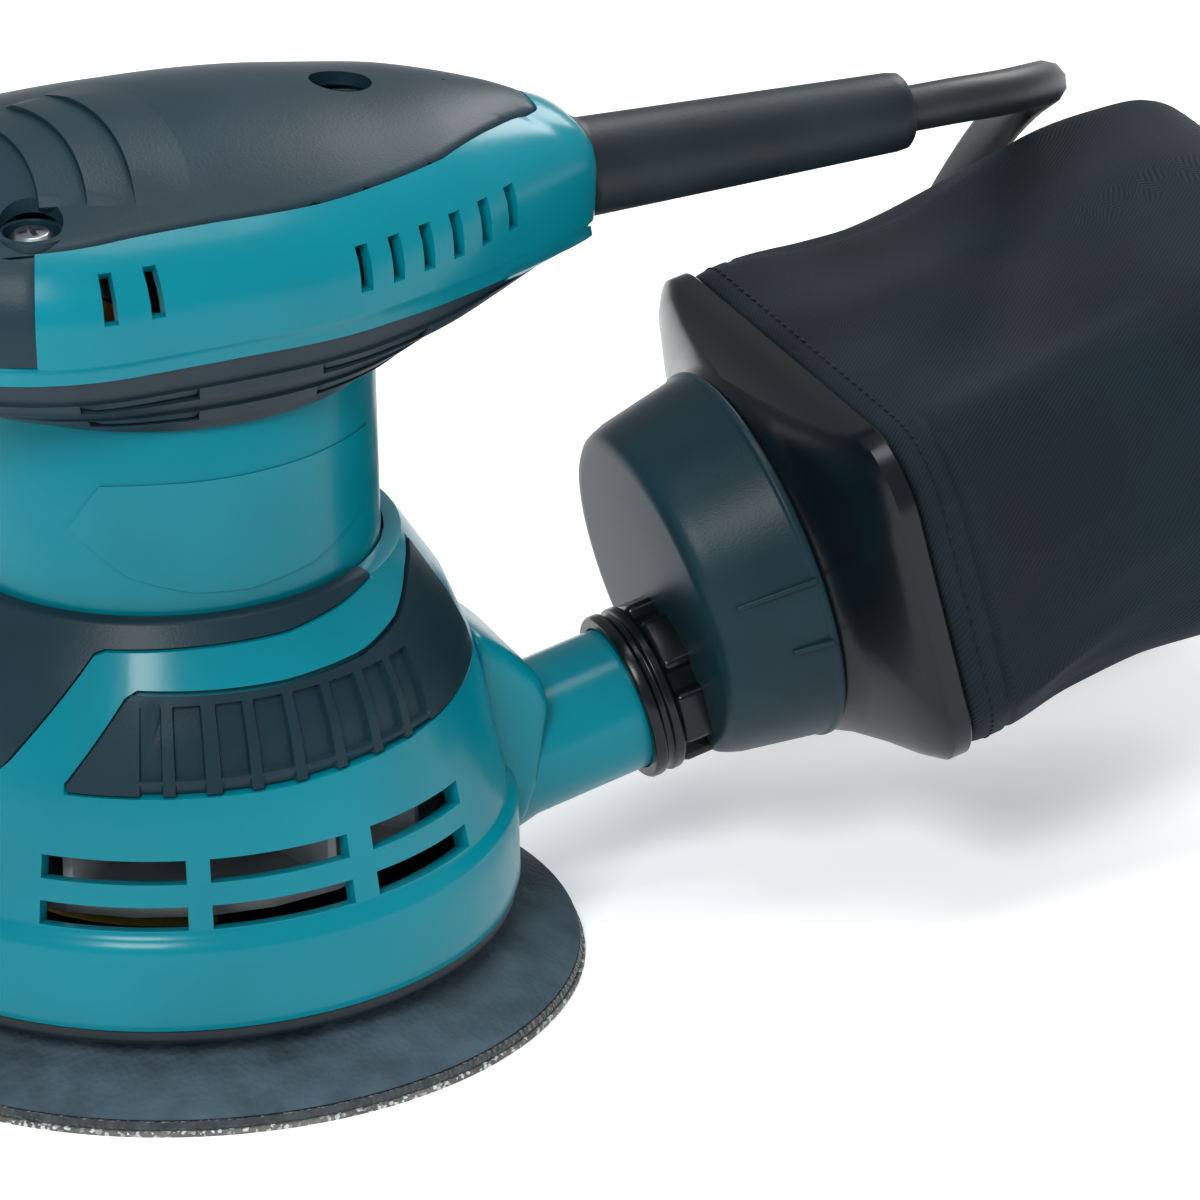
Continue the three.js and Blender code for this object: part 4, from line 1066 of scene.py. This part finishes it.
def rounded(turn, half_y, half_w, corner, middle=FRAME_MIDDLE_W):
    """The point of a rounded rectangle across the s axis, at an angle round it."""
    a = math.radians(turn)
    c, d = math.cos(a), math.sin(a)
    y = math.copysign(half_y - corner, c) + corner * c
    return y, middle + math.copysign(half_w - corner, d) + corner * d


# Place on the s axis, half-width, half-height, corner radius and middle height of each section.
FRAME = [
    (108.6, 29.6, 29.6, 29.5, 27.7), (109.6, 30.6, 30.6, 30.5, 27.7), (111, 31.6, 31.6, 31.4, 27.8),
    (112.2, 34.2, 30.6, 27, 28.6), (114.4, 39.4, 29.5, 20, 29.4), (116.6, 43.6, 29.4, 14.6, 29.8),
    (118.2, 45.4, 29.6, 12.6, 30), (119, 46, 29.8, 12, 30), (121.9, 46, 29.8, 12, 30),
    (122.3, 45.6, 29.4, 11.6, 30),
]
# Each quarter has its own columns just beside the flat sides, so that these stay flat.
QUARTER_TURNS = [0.01, *[3.75 * i for i in range(1, 24)], 89.99]
FRAME_TURNS = [round(90 * quarter + turn, 2) for quarter in range(4) for turn in QUARTER_TURNS] + [360.01]
SPOUT_SLOPE = 0.225


def tilted_axis(point):
    """The nearest point of the bag's rising middle line."""
    return (point.x, 0, FRAME_MIDDLE_W + point.x * SPOUT_SLOPE)


def frame_corner(turn, station):
    s, half_y, half_w, corner, middle = FRAME[round(station)]
    y, w = rounded(turn, half_y, half_w, corner, middle)
    return tuple(SPOUT_TILT @ Vector((s, y, w)))


bag_mouth = skin(FRAME_TURNS, rows_of(FRAME), frame_corner, inside=tilted_axis)
piece(
    "bag_frame_moulding", bag_mouth, "black_plastic", "bag", ["bag_frame"], wall=2.2, soft=0.3, sheet=True
)
outline = [(23.2, 100.2), (25.7, 100.2), (26, 100.6), (26, 112), (23.2, 112)]
spigot = spun(outline, 96, CAP_PLACE @ ALONG_X)
piece("bag_frame_spigot", spigot, "black_plastic", "bag")

# ------------------------------------------------------------------ dust bag

# Place on the s axis, half-width, half-height and corner radius of the filled bag.
BAG = [
    (122.7, 44.6, 28.4, 11), (125, 45.4, 29, 11.5), (131, 45.2, 29, 12), (142, 44, 28, 13),
    (156, 43.6, 27.6, 14), (172, 44.6, 28.6, 14.5), (188, 45, 29.2, 15), (200, 44.6, 29, 15.5),
    (206, 43.8, 27.6, 16), (209.5, 42.6, 24, 15), (212, 41, 17, 12), (213, 39.6, 9, 8),
    (213.8, 38.6, 3.6, 3.4), (214.6, 38.2, 1.8, 1.6), (217.6, 38, 1.6, 1.5),
]


def bag_value(s, k):
    """Value k of the BAG table at a place on the s axis."""
    return flowing([(row[0], row[k]) for row in BAG], s)


def folds(turn, s):
    """How far the cloth stands out or sags, in millimetres: long soft folds and small puckers."""
    round_bag = Vector((math.cos(math.radians(turn)), math.sin(math.radians(turn)), 0))
    held = ramp(s, 124, 138) * ramp(s, 214, 204)
    if held == 0:
        return 0
    broad = noise.noise(Vector((round_bag.x * 1.4 + s * 0.012, round_bag.y * 1.4, s * 0.024 + 3.1)))
    slanted = noise.noise(Vector((turn * 0.028 + s * 0.02, s * 0.012 - turn * 0.006, 7.7)))
    fine = noise.noise(Vector((round_bag.x * 6, round_bag.y * 6, s * 0.07)))
    pucker = 0.25 * math.sin(math.radians(turn) * 46) * max(0, 1 - (s - 124) / 10)
    return held * (2.0 * broad + 1.5 * slanted + 0.5 * fine) + pucker * min(1, (s - 122) / 3)


def bag_corner(turn, s):
    y, w = rounded(turn, bag_value(s, 1), bag_value(s, 2), max(bag_value(s, 3), 0.5))
    out = Vector((0, y, w - FRAME_MIDDLE_W)).normalized() * folds(turn, s)
    hem = 0.5 if 129 < s < 130.4 else 0  # the stitched line behind the frame
    return tuple(SPOUT_TILT @ Vector((s, y + out.y - math.copysign(hem, y), w + out.z)))


# The flat sides are as long as the corners, so they get their own columns.
bag_s = spaced(122.7, 129, 0.9) + [129.3, 130.1] + spaced(130.8, 205, 1.4) + spaced(206, 217.6, 0.8)
FLAT_STEPS = 14


def bag_columns():
    """Columns round the bag as (turn, share along the flat side that follows it)."""
    made = []
    for quarter in range(4):
        made += [(90 * quarter + a, None) for a in spaced(0.01, 89.99, 7.5)]
        made += [(90 * (quarter + 1), i / FLAT_STEPS) for i in range(1, FLAT_STEPS)]
    return made + [made[0]]


COLUMNS = bag_columns()


def bag_place(column, s):
    turn, share = COLUMNS[round(column)]
    if share is None:
        return bag_corner(turn, s)
    before, after = Vector(bag_corner(turn - 0.01, s)), Vector(bag_corner(turn + 0.01, s))
    point = before.lerp(after, share)
    middle = SPOUT_TILT @ Vector((s, 0, FRAME_MIDDLE_W))
    out = (point - middle).normalized()
    arch = math.sin(math.pi * share)
    belly = 1.3 * arch * ramp(s, 124, 149) * ramp(s, 212, 200)
    spot = Vector((turn * 0.02 + share * 2.6 + s * 0.03, s * 0.028 - share * 1.2, turn))
    ripple = 1.7 * noise.noise(spot) * arch * ramp(s, 126, 140) * ramp(s, 213, 201)
    return tuple(point + out * (belly + ripple))


bag = skin(rows_of(COLUMNS), bag_s, bag_place, inside=tilted_axis)
bag_piece = piece("dust_bag_cloth", bag, "cloth", "bag", ["dust_bag"], wall=0.8, soft=0, sheet=True)

# The weave follows the cloth: U runs round the bag and V along it, both in metres.
cloth_map = bag_piece.data.uv_layers.new(name="weave")
level = SPOUT_TILT.inverted()
QUARTER = 0.075  # about a quarter of the way round the bag
for face in bag_piece.data.polygons:
    below = (level @ face.center).z < FRAME_MIDDLE_W * MM
    for corner in face.loop_indices:
        point = level @ bag_piece.data.vertices[bag_piece.data.loops[corner].vertex_index].co
        height = abs(point.z - FRAME_MIDDLE_W * MM)
        way = height + 0.045 - abs(point.y)
        if below:
            round_bag = 4 * QUARTER - way if point.y > 0 else 2 * QUARTER + way
        else:
            round_bag = way if point.y > 0 else 2 * QUARTER - way
        cloth_map.data[corner].uv = (round_bag, point.x)

STITCH_S, STITCH_STEP, THREAD_R = 126.2, 2.6, 0.22


def stitch_row():
    """Short rounded stitches along the hem, a few millimetres apart."""
    stitches = []
    path = [Vector(bag_place(i, STITCH_S)) for i in range(len(COLUMNS))]
    for a, b in zip(path, path[1:]):
        pieces = max(1, round((b - a).length / STITCH_STEP))
        for k in range(pieces):
            start, end = a.lerp(b, (k + 0.2) / pieces), a.lerp(b, (k + 0.8) / pieces)
            run = end - start
            if run.length < 0.3:
                continue
            turn = run.to_track_quat("Z", "Y").to_matrix().to_4x4()
            bm = bmesh.new()
            bmesh.ops.create_cone(
                bm, cap_ends=True, segments=6, depth=run.length * MM,
                radius1=THREAD_R * MM, radius2=THREAD_R * MM,
                matrix=Matrix.Translation((start + end) / 2 * MM) @ turn,
            )
            stitches.append(bm)
    return joined(*stitches)


piece("bag_hem_stitches", stitch_row(), "cloth", "bag", soft=0)

# ------------------------------------------------------------------ bag fastener

outline = [
    (213, 25.6), (213.8, 25), (220.2, 25), (221, 25.8), (221, 34.2), (220.2, 35), (213.8, 35),
    (213, 34.4), (213, 32.2), (218.3, 32.2), (218.3, 27.8), (213, 27.8),
]
rail = slab(outline, 82, SPOUT_TILT @ at(0, 41, 0) @ ON_EDGE)
piece("fastener_rail", rail, "black_plastic", "fastener", ["bag_fastener"], soft=0.4)

# ------------------------------------------------------------------ the inner parts keep their CAD shape

KEPT = {
    "pad_plate": "black_plastic", "pad_screw": "steel", "pad_bearing": "steel", "eccentric_hub": "steel",
    "counterweight": "brass", "fan": "cast_fan", "armature_shaft": "steel", "armature_core": "lamination",
    "winding_lower": "copper", "winding_upper": "copper", "commutator": "copper", "lower_bearing": "steel",
    "upper_bearing": "steel", "stator_core": "lamination", "field_coil_rear": "copper",
    "field_coil_front": "copper", "brush_holder_right": "brass", "carbon_brush_right": "carbon",
    "brush_spring_right": "steel", "brush_holder_left": "brass", "carbon_brush_left": "carbon",
    "brush_spring_left": "steel", "bearing_plate": "black_plastic", "bearing_bridge": "black_plastic",
    "switch_body": "black_plastic", "cord_clamp": "black_plastic", "cap_seal": "rubber",
}
for name, finish in KEPT.items():
    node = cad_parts[name]
    for slot in node.material_slots:
        slot.material = FINISHES[finish]

# ------------------------------------------------------------------ studio

floor_paint, tree = blank("matt_white_studio_paint")  # sprayed matt paint, even and pale
where = add_node(tree, "TexCoord", {}, {}).outputs["Object"]
base, cloud = drifting(tree, where, "#f4f5f6", "#fafbfb", 300)
surface(
    tree, base, ranged(tree, cloud, 0.75, 0.85), cloud, 0.01,
    {"Emission Color": colour("#ffffff"), "Emission Strength": 0.3, "Specular IOR Level": 0.2},
)
bm = bmesh.new()
bmesh.ops.create_grid(bm, x_segments=1, y_segments=1, size=6)
mesh = bpy.data.meshes.new("studio_floor")
bm.to_mesh(mesh)
bm.free()
mesh.materials.append(floor_paint)
floor = bpy.data.objects.new("studio_floor", mesh)
scene.collection.objects.link(floor)

scene.view_settings.view_transform = "Standard"
sky = bpy.data.worlds.new("studio_air")
scene.world = sky
sky.use_nodes = True
sky.node_tree.nodes["Background"].inputs["Color"].default_value = colour("#f3f6f8")
sky.node_tree.nodes["Background"].inputs["Strength"].default_value = 0.42


def softbox(name, place, aim, width, height, power):
    """A rectangular studio light that faces a point."""
    lamp = bpy.data.lights.new(name, "AREA")
    lamp.shape = "RECTANGLE"
    lamp.size, lamp.size_y = width, height
    lamp.energy = power
    lamp_object = bpy.data.objects.new(name, lamp)
    lamp_object.location = place
    lamp_object.rotation_euler = (Vector(aim) - Vector(place)).to_track_quat("-Z", "Y").to_euler()
    scene.collection.objects.link(lamp_object)


softbox("key_light", (-0.7, -0.9, 1.1), (0, 0, 0.08), 0.5, 0.5, 15)
softbox("rim_light", (0.9, 0.7, 0.9), (0.1, 0, 0.08), 0.4, 0.9, 9)
softbox("top_light", (0.1, -0.1, 1.3), (0.1, 0, 0.1), 0.8, 0.4, 6)
